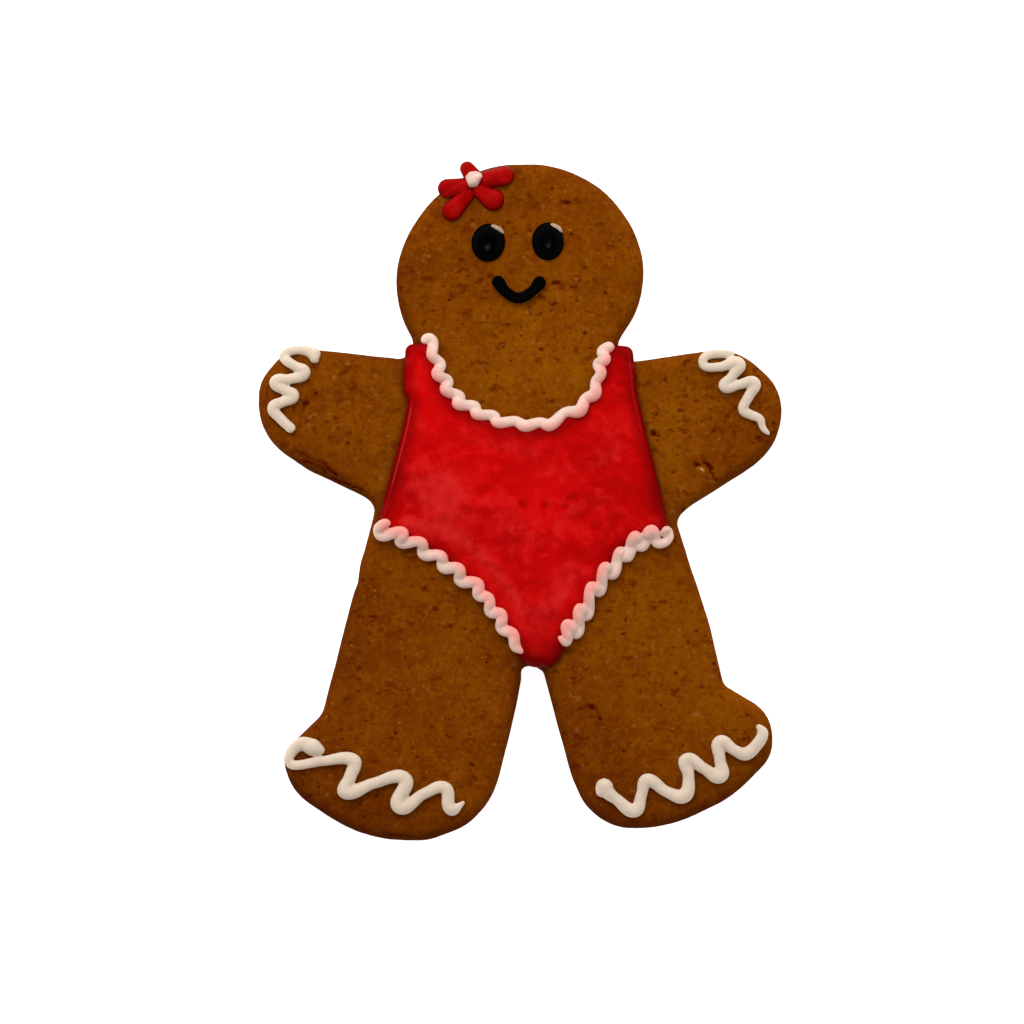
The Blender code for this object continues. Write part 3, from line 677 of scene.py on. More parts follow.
def dents(points: np.ndarray, pits: Iterable[Pit]) -> tuple[np.ndarray, np.ndarray]:
    """How deep each point lies in a pit, and how dark it is there.

    Args:
        points: Plan points.
        pits: The pits.

    Returns:
        Depths in mm, and darkness from 0 to 1.
    """
    depth, darkness = np.zeros(len(points)), np.zeros(len(points))
    for pit in pits:
        offset = points - (pit.x, pit.y)
        near = np.nonzero(np.abs(offset).max(axis=1) < pit.length)[0]
        angle = math.radians(pit.tilt)
        along = offset[near] @ (math.cos(angle), math.sin(angle)) / (pit.length / 2)
        across = offset[near] @ (-math.sin(angle), math.cos(angle)) / (pit.width / 2)
        bowl = np.clip(1.0 - (along**2 + across**2) / 2.0, 0.0, 1.0) ** BOWL_POWER
        depth[near] += pit.depth * bowl
        darkness[near] = np.maximum(darkness[near], pit.darkness * bowl)
    return depth, darkness


def stroked(points: np.ndarray, strokes: Iterable[Stroke]) -> np.ndarray:
    """How strongly soft strokes shade each point, from 0 to 1.

    Args:
        points: Points, of which the first two columns are the plan.
        strokes: The strokes.

    Returns:
        A strength for each point.
    """
    found = np.zeros(len(points))
    for stroke in strokes:
        away = distance_to_line(points[:, :2], stroke.places) / stroke.reach
        found = found + stroke.strength * np.exp(-(away**2)) * (1.0 - 0.5 * found)
    return np.clip(found, 0.0, 1.0)


def tinted(points: np.ndarray, tints: Iterable[Tint]) -> np.ndarray:
    """How strongly soft round patches tint each point, from -1 to 1.

    Args:
        points: Points, of which the first two columns are the plan.
        tints: The patches.

    Returns:
        A strength for each point.
    """
    found = np.zeros(len(points))
    for tint in tints:
        away = np.linalg.norm(points[:, :2] - (tint.x, tint.y), axis=1)
        found += tint.strength * np.exp(-((away / tint.reach) ** 2))
    return np.clip(found, -1.0, 1.0)


# Node trees


class Signal:
    """One output of a node. Arithmetic on numbers adds Math nodes."""

    def __init__(self, graph: Graph, socket: bpy.types.NodeSocket) -> None:
        """Keeps the graph and the socket that the value comes from."""
        self.graph = graph
        self.socket = socket

    def math(self, operation: str, *values: Number) -> Signal:
        """A Math node on these values."""
        return self.graph.add("ShaderNodeMath", dict(enumerate(values)), operation=operation)

    def __add__(self, other: Number) -> Signal:
        """The sum."""
        return self.math("ADD", self, other)

    __radd__ = __add__

    def __sub__(self, other: Number) -> Signal:
        """The difference."""
        return self.math("SUBTRACT", self, other)

    def __rsub__(self, other: Number) -> Signal:
        """The difference from a number."""
        return self.math("SUBTRACT", other, self)

    def __mul__(self, other: Number) -> Signal:
        """The product."""
        return self.math("MULTIPLY", self, other)

    __rmul__ = __mul__

    def clipped(self) -> Signal:
        """The value kept between 0 and 1."""
        return self.graph.add("ShaderNodeClamp", {"Value": self})

    def fade(self, low: float, high: float) -> Signal:
        """0 at low, 1 at high and smooth between them. High may be the smaller one.

        Args:
            low: The value that gives 0.
            high: The value that gives 1.

        Returns:
            The faded value.
        """
        if low > high:
            return 1.0 - self.fade(high, low)
        return self.graph.add(
            "ShaderNodeMapRange",
            {"Value": self, "From Min": low, "From Max": high},
            interpolation_type="SMOOTHSTEP",
        )


class Graph:
    """Adds nodes to a node tree."""

    def __init__(self, tree: bpy.types.NodeTree) -> None:
        """Keeps the tree."""
        self.tree = tree

    @staticmethod
    def find(sockets: Sequence[bpy.types.NodeSocket], key: int | str) -> bpy.types.NodeSocket:
        """The socket of this place, identifier or name.

        Args:
            sockets: The sockets to look through.
            key: The place, the identifier or the name.

        Returns:
            The first socket that fits.
        """
        if isinstance(key, int):
            return sockets[key]
        named = [s for s in sockets if s.identifier == key] or [s for s in sockets if s.name == key]
        return named[0]

    def feed(self, socket: bpy.types.NodeSocket, value: object) -> None:
        """Gives a socket its number, its colour or the signal that it follows.

        Args:
            socket: The input.
            value: What it gets.
        """
        if isinstance(value, Signal):
            self.tree.links.new(value.socket, socket)
        else:
            socket.default_value = value

    def add(
        self,
        kind: str,
        values: dict[int | str, object] | None = None,
        output: int | str = 0,
        **settings: object,
    ) -> Signal:
        """A node of this type.

        Args:
            kind: The node's type.
            values: What each of its inputs holds: a number, a colour or a signal.
            output: Which of its outputs is wanted.
            **settings: Its settings, which are set before its inputs.

        Returns:
            The output.
        """
        node = self.tree.nodes.new(kind)
        for name, setting in settings.items():
            setattr(node, name, setting)
        for key, value in (values or {}).items():
            self.feed(self.find(node.inputs, key), value)
        return Signal(self, self.find(node.outputs, output))

    def named(self, name: str) -> Signal:
        """A number that the mesh holds for each of its points."""
        return self.add("ShaderNodeAttribute", output="Fac", attribute_name=name)

    def stretched(self, place: Signal, factors: tuple[float, float, float]) -> Signal:
        """The place with each of its axes multiplied."""
        return self.add("ShaderNodeVectorMath", {0: place, 1: factors}, operation="MULTIPLY")

    def scaled(self, vector: Signal, factor: Number) -> Signal:
        """The vector times one number."""
        values = {0: vector, "Scale": factor}
        return self.add("ShaderNodeVectorMath", values, operation="SCALE")

    def noise(
        self,
        place: Signal,
        size: float,
        detail: float = 2.0,
        roughness: float = 0.5,
        distortion: float = 0.0,
        seed: float = 0.0,
    ) -> Signal:
        """Noise from 0 to 1 whose lumps are about this size, in the place's own unit.

        Args:
            place: Where it is read.
            size: The size of its largest lumps.
            detail: How many finer layers it has.
            roughness: How strong each finer layer is.
            distortion: How far it is warped.
            seed: Which noise is taken.

        Returns:
            The noise.
        """
        values = {"Vector": place, "W": seed, "Scale": 1.0 / size, "Detail": detail}
        values |= {"Roughness": roughness, "Distortion": distortion}
        return self.add("ShaderNodeTexNoise", values, noise_dimensions="4D")

    def specks(self, place: Signal, size: float, share: float) -> Signal:
        """Round specks: 1 in their middles and 0 outside, one to a cell of this size."""
        cell = self.add("ShaderNodeTexVoronoi", {"Vector": place, "Scale": 1.0 / size})
        return cell.fade(share, 0.35 * share)

    def blend(self, share: Number, first: object, second: object) -> Signal:
        """A colour on the way from the first to the second.

        Args:
            share: How far on the way, from 0 to 1.
            first: A colour, or the signal of one.
            second: The same.

        Returns:
            The colour's signal.
        """
        ends = [(*end, 1.0) if isinstance(end, tuple) else end for end in (first, second)]
        values = {"Factor_Float": share, "A_Color": ends[0], "B_Color": ends[1]}
        return self.add("ShaderNodeMix", values, output="Result_Color", data_type="RGBA")

    def bump(self, height: Signal, rise: float, below: Signal | None = None) -> Signal:
        """A normal that follows a height from 0 to 1, rise mm high, over another normal.

        Args:
            height: The height.
            rise: How high 1 stands, in mm.
            below: The normal underneath.

        Returns:
            The normal.
        """
        values: dict[int | str, object] = {"Height": height, "Distance": rise * MM}
        if below is not None:
            values["Normal"] = below
        return self.add("ShaderNodeBump", values)


class Surface(Graph):
    """The node graph of a new material with one Principled shader."""

    def __init__(self, name: str, specular: float) -> None:
        """Makes the material.

        Args:
            name: The material's name.
            specular: Its specular level, the same all over.
        """
        self.material = bpy.data.materials.new(name)
        self.material.use_nodes = True
        super().__init__(self.material.node_tree)
        self.shader = self.tree.nodes["Principled BSDF"]
        self.shader.inputs["Specular IOR Level"].default_value = specular
        self.place = self.scaled(self.add("ShaderNodeTexCoord", output="Object"), 1 / MM)
        self.colour: Signal | None = None

    def coat(self, share: Signal, colour: Colour) -> None:
        """Covers this share of the surface's colour with another one."""
        self.colour = self.blend(share, self.colour, colour)

    def dress(self, roughness: Signal, normal: Signal) -> bpy.types.Material:
        """Joins the finished values to the shader.

        Args:
            roughness: The roughness.
            normal: The normal.

        Returns:
            The material.
        """
        finished = {"Base Color": self.colour, "Roughness": roughness, "Normal": normal}
        for name, value in finished.items():
            self.feed(self.shader.inputs[name], value)
        return self.material


class GeometryTree(Graph):
    """A Geometry Nodes tree with named inputs, run once on an object as a modifier."""

    def __init__(self, name: str, inputs: dict[str, object]) -> None:
        """Makes the tree and its inputs.

        Args:
            name: The tree's name.
            inputs: The value of each named input: a number or a material.
        """
        super().__init__(bpy.data.node_groups.new(name, "GeometryNodeTree"))
        face = self.tree.interface
        for way in ("INPUT", "OUTPUT"):
            face.new_socket("Geometry", in_out=way, socket_type="NodeSocketGeometry")
        self.values: dict[str, object] = {}
        for label, value in inputs.items():
            made = face.new_socket(label, in_out="INPUT", socket_type=self.kind(value))
            self.values[made.identifier] = value
        self.entry = self.tree.nodes.new("NodeGroupInput")
        self.exit = self.tree.nodes.new("NodeGroupOutput")
        self.place = self.add("GeometryNodeInputPosition")

    @staticmethod
    def kind(value: object) -> str:
        """The type of the socket that takes this value.

        Args:
            value: A number or a material.

        Returns:
            The socket type's name.
        """
        if isinstance(value, bpy.types.Material):
            return "NodeSocketMaterial"
        return "NodeSocketInt" if isinstance(value, int) else "NodeSocketFloat"

    def __getitem__(self, label: str) -> Signal:
        """The signal of a named input."""
        return Signal(self, self.entry.outputs[label])

    def held(self, name: str) -> Signal:
        """A number that the mesh holds for each of its points."""
        return self.add("GeometryNodeInputNamedAttribute", {"Name": name}, data_type="FLOAT")

    def swell(self, size: str, detail: float) -> Signal:
        """Noise from -1 to 1, whose lumps have the size that this input says.

        Args:
            size: The input's name.
            detail: How many finer layers it has.

        Returns:
            The noise.
        """
        scale = self.add("ShaderNodeMath", {0: 1.0, 1: self[size]}, operation="DIVIDE")
        values = {"Vector": self.place, "W": self["Seed"], "Scale": scale, "Detail": detail}
        return (self.add("ShaderNodeTexNoise", values, noise_dimensions="4D") - 0.5) * 2.0

    def risen(self, shape: Signal, rise: Signal) -> Signal:
        """The shape with its points moved outwards."""
        offset = self.scaled(self.add("GeometryNodeInputNormal"), rise)
        return self.add("GeometryNodeSetPosition", {"Geometry": shape, "Offset": offset})

    def end(self, shape: Signal) -> GeometryTree:
        """Shades the shape smooth, realizes it, gives it its material and ends the tree.

        Args:
            shape: The finished shape.

        Returns:
            The tree.
        """
        smooth = self.add("GeometryNodeSetShadeSmooth", {"Geometry": shape})
        real = self.add("GeometryNodeRealizeInstances", {"Geometry": smooth})
        values = {"Geometry": real, "Material": self["Material"]}
        self.feed(self.exit.inputs[0], self.add("GeometryNodeSetMaterial", values))
        return self

    def hang_on(self, piece: bpy.types.Object) -> None:
        """Puts the tree on an object as a modifier, with the inputs' values set.

        Args:
            piece: The object.
        """
        modifier = piece.modifiers.new(self.tree.name, "NODES")
        modifier.node_group = self.tree
        for identifier, value in self.values.items():
            modifier[identifier] = value


def relief_tree(
    name: str, material: bpy.types.Material, lump: Place, grain: Place, seed: float
) -> GeometryTree:
    """A tree that lifts and sinks a skin by two sizes of noise, where 'skin' allows it.

    Args:
        name: The tree's name.
        material: What the skin is made of.
        lump: Size and height of the larger lumps, in mm.
        grain: Size and height of the smaller ones, in mm.
        seed: Which noise is taken.

    Returns:
        The tree.
    """
    inputs = {"Lump Size": lump[0] * MM, "Lump Height": lump[1] * MM, "Seed": seed}
    inputs |= {"Grain Size": grain[0] * MM, "Grain Height": grain[1] * MM, "Material": material}
    tree = GeometryTree(name, inputs)
    rise = tree.swell("Lump Size", 2.0) * tree["Lump Height"]
    rise = rise + tree.swell("Grain Size", 2.0) * tree["Grain Height"]
    return tree.end(tree.risen(tree["Geometry"], rise * tree.held("skin")))


BEAD_SIDES = 20
BEAD_STEP = 0.25  # spacing of a bead's rings, in mm
BEAD_UNEVENNESS = 0.05  # how far a bead's width wanders, as a share of it
BEAD_SWELL = 3.0  # length of its thicker and thinner runs, in mm


def piping_tree(material: bpy.types.Material, flatness: float, seed: float) -> GeometryTree:
    """A tree that sweeps an oval bead along a wire, as wide as the wire's 'width' says.

    Args:
        material: What the bead is made of.
        flatness: The bead's height as a share of its width.
        seed: Which unevenness is taken.

    Returns:
        The tree.
    """
    inputs = {"Step": BEAD_STEP * MM, "Flatness": flatness, "Unevenness": BEAD_UNEVENNESS}
    inputs |= {"Swell Size": BEAD_SWELL * MM, "Seed": seed, "Material": material}
    tree = GeometryTree("piping", inputs)
    curve = tree.add("GeometryNodeMeshToCurve", {"Mesh": tree["Geometry"]})
    values = {"Curve": curve, "Length": tree["Step"]}
    curve = tree.add("GeometryNodeResampleCurve", values, mode="LENGTH")
    curve = tree.add("GeometryNodeSetCurveNormal", {"Curve": curve}, mode="Z_UP")
    width = tree.held("width") * (1.0 + tree.swell("Swell Size", 1.0) * tree["Unevenness"])
    values = {"Resolution": BEAD_SIDES, "Radius": 0.5}
    ring = tree.add("GeometryNodeCurvePrimitiveCircle", values)
    tall = tree.add("ShaderNodeCombineXYZ", {"X": 1.0, "Y": tree["Flatness"], "Z": 1.0})
    ring = tree.add("GeometryNodeTransform", {"Geometry": ring, "Scale": tall})
    values = {"Curve": curve, "Profile Curve": ring, "Scale": width, "Fill Caps": True}
    return tree.end(tree.add("GeometryNodeCurveToMesh", values))


def settled_tree(
    material: bpy.types.Material, rounds: int, lump: Place, seed: float
) -> GeometryTree:
    """A tree that lets a fused bead settle: its creases soften and its skin gets small lumps.

    Args:
        material: What the bead is made of.
        rounds: How often the skin is smoothed.
        lump: Size and height of the lumps, in mm.
        seed: Which lumps are taken.

    Returns:
        The tree.
    """
    inputs = {"Rounds": rounds, "Lump Size": lump[0] * MM, "Lump Height": lump[1] * MM}
    tree = GeometryTree("settled", {**inputs, "Seed": seed, "Material": material})
    values = {"Value": tree.place, "Iterations": tree["Rounds"]}
    even = tree.add("GeometryNodeBlurAttribute", values, data_type="FLOAT_VECTOR")
    calm = tree.add("GeometryNodeSetPosition", {"Geometry": tree["Geometry"], "Position": even})
    return tree.end(tree.risen(calm, tree.swell("Lump Size", 1.0) * tree["Lump Height"]))


# Finishes. Colours are linear.


@dataclass(frozen=True)
class Crust:
    """Baked gingerbread: mottled brown, flecked and darker below, with painted shade in its cracks
    and holes, and partly painted shade along its edges, by the suit and towards the feet.
    """

    name: str = "baked gingerbread"
    reddish: Colour = (0.134, 0.0247, 0.0002)
    yellowish: Colour = (0.199, 0.0500, 0.0003)
    golden: Colour = (0.240, 0.0690, 0.0005)
    ruddy: Colour = (0.095, 0.0140, 0.0002)
    fleck: Colour = (0.085, 0.0068, 0.0001)
    burnt_and_shade: Colour = (0.060, 0.0090, 0.0002)
    # The colour of painted shade in cracks and holes, and of dark flecks
    hole: Colour = (0.052, 0.0012, 0.0001)
    chip: Colour = (0.56, 0.31, 0.14)
    crumb: Colour = (0.32, 0.125, 0.022)
    bleed: Colour = (0.060, 0.0050, 0.0002)
    specular: float = 0.012
    craze_turn: float = 0.45  # how far the fine cracks are turned from +X, in radians

    def make(self) -> bpy.types.Material:
        """Builds the material.

        Returns:
            The material.
        """
        s = Surface(self.name, self.specular)
        place = s.place
        broad = s.noise(place, 22.0, 2.0, seed=1.0)
        patches = s.noise(place, 3.2, 4.0, 0.65, seed=2.0)
        fine = s.noise(place, 0.95, 3.0, 0.6, seed=3.0)
        tone = (broad * 0.17 + patches * 0.45 + fine * 0.38).fade(0.37, 0.63)
        s.colour = s.blend(tone, self.reddish, self.yellowish)
        # Tone patches: partly the bake's own, partly painted light, lighter by the chin and darker
        # towards the feet
        turn = s.named("tone")
        s.coat(turn.clipped() * (0.35 + tone * 0.5), self.golden)
        s.coat((turn * -1.0).clipped() * (0.75 - tone * 0.4), self.ruddy)
        flat = s.stretched(place, (0.85, 1.05, 1.0))
        crowd = s.noise(place, 10.0, 2.0, seed=4.0).fade(0.3, 0.7)
        flecks = s.noise(flat, 1.9, 2.5, 0.55, seed=5.0).fade(0.54, 0.70)
        dots = s.noise(flat, 1.05, 1.5, 0.5, seed=6.0).fade(0.58, 0.74)
        flecks = (flecks * (0.25 + crowd * 0.6) + dots * (0.18 + crowd * 0.32)).clipped()
        s.coat(flecks, self.fleck)
        light = s.noise(flat, 1.2, 2.0, 0.5, seed=10.0).fade(0.60, 0.74)
        s.coat(light * 0.30, self.crumb)
        edge = s.named("edge")
        scorch = s.named("scorch")
        ragged = s.noise(place, 2.2, 3.0, 0.6, seed=7.0) - 0.5
        # Darker edges: partly browned by the oven, partly painted shade
        rim = (edge + ragged * 1.6).fade(2.6, 0.2)
        wide = (edge + ragged * 6.0).fade(9.0, 1.0)
        browned_and_shaded = (rim * (0.14 + scorch * 0.34) + wide * scorch * 0.42).clipped()
        s.coat(browned_and_shaded, self.burnt_and_shade)
        # Fine cracks along the edge, drawn as dark lines of painted shade
        slant = s.add("ShaderNodeVectorRotate", {"Vector": place, "Angle": self.craze_turn})
        splits = s.noise(s.stretched(slant, (0.45, 1.4, 1.0)), 1.5, 3.0, 0.6, seed=11.0) - 0.5
        lines = splits.math("ABSOLUTE").fade(0.080, 0.020) * 0.75 + splits.fade(0.02, 0.16) * 0.3
        splits = (lines * s.named("crazed")).clipped()
        s.coat(splits, self.hole)
        torn = s.noise(place, 0.7, 2.0, seed=12.0)
        # Pits darken: partly dark flecks, partly painted shade in the holes
        pit = (s.named("pit") * (0.35 + torn * 1.2)).fade(0.02, 0.85)
        s.coat(pit * 0.92, self.hole)
        crumb = s.named("pale")
        s.coat((crumb * (0.8 + torn * 0.8)).clipped(), self.crumb)
        s.coat(crumb.fade(0.55, 0.85), self.chip)
        # Darker by the suit's edge: partly red bleed, partly painted contact shadow
        bleed = (s.named("bleed") * (0.4 + fine * 0.7)).clipped()
        s.coat(bleed * 0.75, self.bleed)
        pale = s.specks(s.stretched(place, (0.8, 1.0, 1.0)), 5.5, 0.07)
        s.coat(pale * 0.6, self.crumb)
        under = s.add("ShaderNodeSeparateXYZ", {0: place}, output="Z").fade(2.2, 0.15)
        pores = s.noise(place, 1.5, 4.0, 0.65, seed=8.0).fade(0.42, 0.62)
        s.coat(under * (0.35 + pores * 0.35), self.burnt_and_shade)
        grain = s.noise(place, 0.6, 3.0, 0.6, seed=9.0)
        normal = s.bump(grain, 0.085)
        normal = s.bump(patches, 0.28, normal)
        normal = s.bump(1.0 - (flecks + splits * 1.5), 0.18, normal)
        return s.dress(0.72 + fine * 0.2, normal)


@dataclass(frozen=True)
class RedIcing:
    """Dried flood icing: cloudy red with paler swooshes, partly painted sheen; painted shade
    darkens its edges and hollows, and painted highlights line and fleck it.
    """

    name: str
    red: Colour
    dull: Colour
    deep: Colour
    bright: Colour
    pale: Colour
    gleam: Colour = (0.46, 0.032, 0.030)
    roughness: float = 0.40
    specular: float = 0.015

    def make(self) -> bpy.types.Material:
        """Builds the material.

        Returns:
            The material.
        """
        s = Surface(self.name, self.specular)
        place = s.place
        swirl = s.noise(s.stretched(place, (0.8, 1.2, 1.0)), 9.0, 4.0, 0.55, 1.2, seed=1.0)
        cloud = s.noise(place, 2.6, 4.0, 0.65, seed=2.0)
        fine = s.noise(place, 0.6, 3.0, 0.6, seed=3.0)
        tone = (swirl * 0.5 + cloud * 0.35 + fine * 0.15).fade(0.41, 0.59)
        s.colour = s.blend(tone, self.dull, self.red)
        s.coat(s.named("bright") * (0.45 + cloud * 0.7), self.bright)
        # Paler swooshes: partly the icing's own cloudy tone, partly painted sheen
        pale_and_sheen = s.named("bloom") * 0.8 + (swirl - 0.5) * 0.9 + (cloud - 0.5) * 1.9
        s.coat(pale_and_sheen.fade(-0.1, 1.1) * (0.2 + fine), self.pale)
        edge = s.named("edge")
        # Painted shade: darker along the edge, in patches, low on a dab's flanks and in the dimples
        shaded = edge.fade(4.6, 0.6) * 0.68 + edge.fade(1.2, 0.1) * 0.28
        s.coat((shaded + s.named("deep") * 0.55).clipped(), self.deep)
        s.coat(s.named("pit") * 0.75, self.deep)
        # Painted highlight: a thin pale line just inside the rounded edge
        line = edge.fade(0.72, 0.98) * edge.fade(1.32, 1.02) * s.named("gleam")
        s.coat(line * (0.5 + fine * 0.5), self.gleam)
        # Painted highlights: small pale specks
        dots = s.specks(place, 2.0, 0.10) * cloud.fade(0.42, 0.6)
        s.coat(dots * 0.6, self.pale)
        normal = s.bump(fine, 0.03)
        normal = s.bump(cloud, 0.10, normal)
        return s.dress(self.roughness + (cloud - 0.5) * 0.2, normal)


@dataclass(frozen=True)
class PipedIcing:
    """Stiff white icing, pink where it lies on the red: partly stained, partly a painted red
    reflection.
    """

    name: str
    white: Colour
    shade: Colour
    stain: Colour = (0.74, 0.27, 0.23)
    roughness: float = 0.5
    specular: float = 0.12

    def make(self) -> bpy.types.Material:
        """Builds the material.

        Returns:
            The material.
        """
        s = Surface(self.name, self.specular)
        cloud = s.noise(s.place, 1.8, 3.0, 0.6, seed=1.0)
        fine = s.noise(s.place, 0.35, 3.0, 0.6, seed=2.0)
        s.colour = s.blend((cloud * 0.7 + fine * 0.3).fade(0.35, 0.65), self.shade, self.white)
        # Pink where the trim lies on the red: partly stain, partly painted red reflection
        stained_and_reflected = (s.named("stain") * 1.05 + (cloud - 0.52) * 1.3) * 0.9
        s.coat(stained_and_reflected.clipped(), self.stain)
        normal = s.bump(fine, 0.02)
        normal = s.bump(cloud, 0.05, normal)
        return s.dress(self.roughness + (fine - 0.5) * 0.15, normal)


@dataclass(frozen=True)
class BlackIcing:
    """Glossy black icing."""

    name: str
    black: Colour = (0.0006, 0.0006, 0.0009)
    brownish: Colour = (0.0010, 0.0008, 0.0007)
    roughness: float = 0.21
    specular: float = 0.022

    def make(self) -> bpy.types.Material:
        """Builds the material.

        Returns:
            The material.
        """
        s = Surface(self.name, self.specular)
        cloud = s.noise(s.place, 2.0, 2.0, seed=1.0)
        fine = s.noise(s.place, 0.4, 2.0, seed=2.0)
        s.colour = s.blend(cloud, self.black, self.brownish)
        normal = s.bump(cloud, 0.04)
        return s.dress(self.roughness + (fine - 0.5) * 0.1, normal)


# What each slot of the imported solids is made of
FINISHES = {
    "gingerbread": Crust(),
    "suit_icing": RedIcing(
        "red flood icing",
        red=(0.53, 0.0006, 0.0006),
        dull=(0.36, 0.0002, 0.0002),
        deep=(0.165, 0.0001, 0.0001),
        bright=(0.60, 0.0010, 0.0010),
        pale=(0.55, 0.019, 0.017),
    ),
    "petal_icing": RedIcing(
        "red petal icing",
        red=(0.325, 0.0016, 0.0011),
        dull=(0.235, 0.0007, 0.0005),
        deep=(0.11, 0.0002, 0.0002),
        bright=(0.37, 0.0016, 0.0013),
        pale=(0.385, 0.016, 0.011),
    ),
    "trim_icing": PipedIcing("white trim icing", (0.74, 0.53, 0.44), (0.64, 0.44, 0.36)),
    "zigzag_icing": PipedIcing("white zigzag icing", (0.64, 0.535, 0.42), (0.565, 0.45, 0.34)),
    "glint_icing": PipedIcing("thin glint icing", (0.40, 0.29, 0.19), (0.33, 0.23, 0.15)),
    "flower_middle_icing": PipedIcing(
        "white flower icing", (0.60, 0.42, 0.36), (0.54, 0.37, 0.30)
    ),
    "eye_icing": BlackIcing("black eye icing"),
    "smile_icing": BlackIcing("black smile icing", roughness=0.3, specular=0.01),
}


# Pieces


def placed(name: str, data: bpy.types.ID) -> bpy.types.Object:
    """A new object in the scene that shows this mesh, light or camera.

    Args:
        name: The object's name.
        data: What it shows.

    Returns:
        The object, at the origin.
    """
    made = bpy.data.objects.new(name, data)
    bpy.context.scene.collection.objects.link(made)
    return made


@dataclass
class Bench:
    """Where pieces are made: the drawing's place in the frame, and the finishing steps."""

    origin: np.ndarray  # the drawing's origin in the frame, in mm
    materials: dict[str, bpy.types.Material]  # by slot

    def piece(
        self, name: str, points: np.ndarray, faces: list, **numbers: float | np.ndarray
    ) -> bpy.types.Object:
        """A mesh object with numbers for each of its points.

        Args:
            name: The object's name.
            points: Its points in the drawing, in mm.
            faces: Its faces, as rows of indices.
            **numbers: Attributes by name: one number for each point, or one for all.

        Returns:
            The linked object.
        """
        mesh = bpy.data.meshes.new(name)
        mesh.from_pydata(((points + self.origin) * MM).tolist(), [], faces)
        made = placed(name, mesh)
        for label, values in numbers.items():
            self.mark(made, label, values)
        mesh.update()
        return made

    def wire(self, name: str, line: np.ndarray, widths: np.ndarray) -> bpy.types.Object:
        """An object of one run of edges along a line, with a width at each point.

        Args:
            name: The object's name.
            line: Its points in the drawing, in mm.
            widths: How wide it is at each of them, in mm.

        Returns:
            The linked object.
        """
        mesh = bpy.data.meshes.new(name)
        edges = [(i, i + 1) for i in range(len(line) - 1)]
        mesh.from_pydata(((line + self.origin) * MM).tolist(), edges, [])
        made = placed(name, mesh)
        self.mark(made, "width", widths * MM)
        return made

    @staticmethod
    def mark(piece: bpy.types.Object, label: str, values: float | np.ndarray) -> None:
        """Gives the piece's points a number each."""
        data = piece.data.attributes.new(label, "FLOAT", "POINT").data
        data.foreach_set("value", np.full(len(data), values, np.float32))

    def plan(self, piece: bpy.types.Object) -> np.ndarray:
        """The piece's points in the drawing, in mm.

        Args:
            piece: The piece.

        Returns:
            Its points, in three columns.
        """
        points = np.empty(len(piece.data.vertices) * 3, np.float32)
        piece.data.vertices.foreach_get("co", points)
        return points.reshape(-1, 3).astype(float) / MM - self.origin

    @staticmethod
    def finish(piece: bpy.types.Object, node: str, slot: str) -> bpy.types.Object:
        """Turns the piece into a plain mesh that stands for a node and rides on the body.

        Args:
            piece: The object, with its modifiers.
            node: The node that it replaces.
            slot: Its finish.

        Returns:
            The same object, with its final mesh.
        """
        graph = bpy.context.evaluated_depsgraph_get()
        graph.update()
        mesh = bpy.data.meshes.new_from_object(piece.evaluated_get(graph))
        old = piece.data
        piece.modifiers.clear()
        piece.data = mesh
        mesh.name = piece.name
        bpy.data.meshes.remove(old)
        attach(piece, BODY)
        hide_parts(node)
        mesh.calc_loop_triangles()
        LOG.info("%s: %d triangles, %s", piece.name, len(mesh.loop_triangles), slot)
        return piece


def stacked(
    rings: list[np.ndarray],
    below: np.ndarray | None = None,
    above: np.ndarray | None = None,
) -> tuple[np.ndarray, list]:
    """The points and faces of a closed skin through rings of equal length.

    Args:
        rings: The rings from the lowest to the highest, anticlockwise from above.
        below: Points within the lowest ring. Without them it is closed by one point.
        above: Points within the highest ring, likewise.

    Returns:
        The points, and the faces as lists of indices.
    """
    count = len(rings[0])
    points = list(rings)
    faces: list = []
    index = np.arange(count)
    before = np.roll(index, 1)
    for low in range(0, count * (len(rings) - 1), count):
        sides = [low + before, low + index, low + count + index, low + count + before]
        faces += np.column_stack(sides).tolist()
    total = count * len(rings)
    for ring, start, extra in ((rings[0], 0, below), (rings[-1], total - count, above)):
        if extra is None:
            extra = ring.mean(axis=0, keepdims=True)
            cap = np.column_stack([before, index, np.full(count, count)])
        else:
            cap = filled(ring[:, :2], extra[:, :2])
        places = np.where(cap < count, start + cap, total + cap - count)
        faces += (places if start else places[:, ::-1]).tolist()
        points.append(extra)
        total += len(extra)
    return np.vstack(points), faces


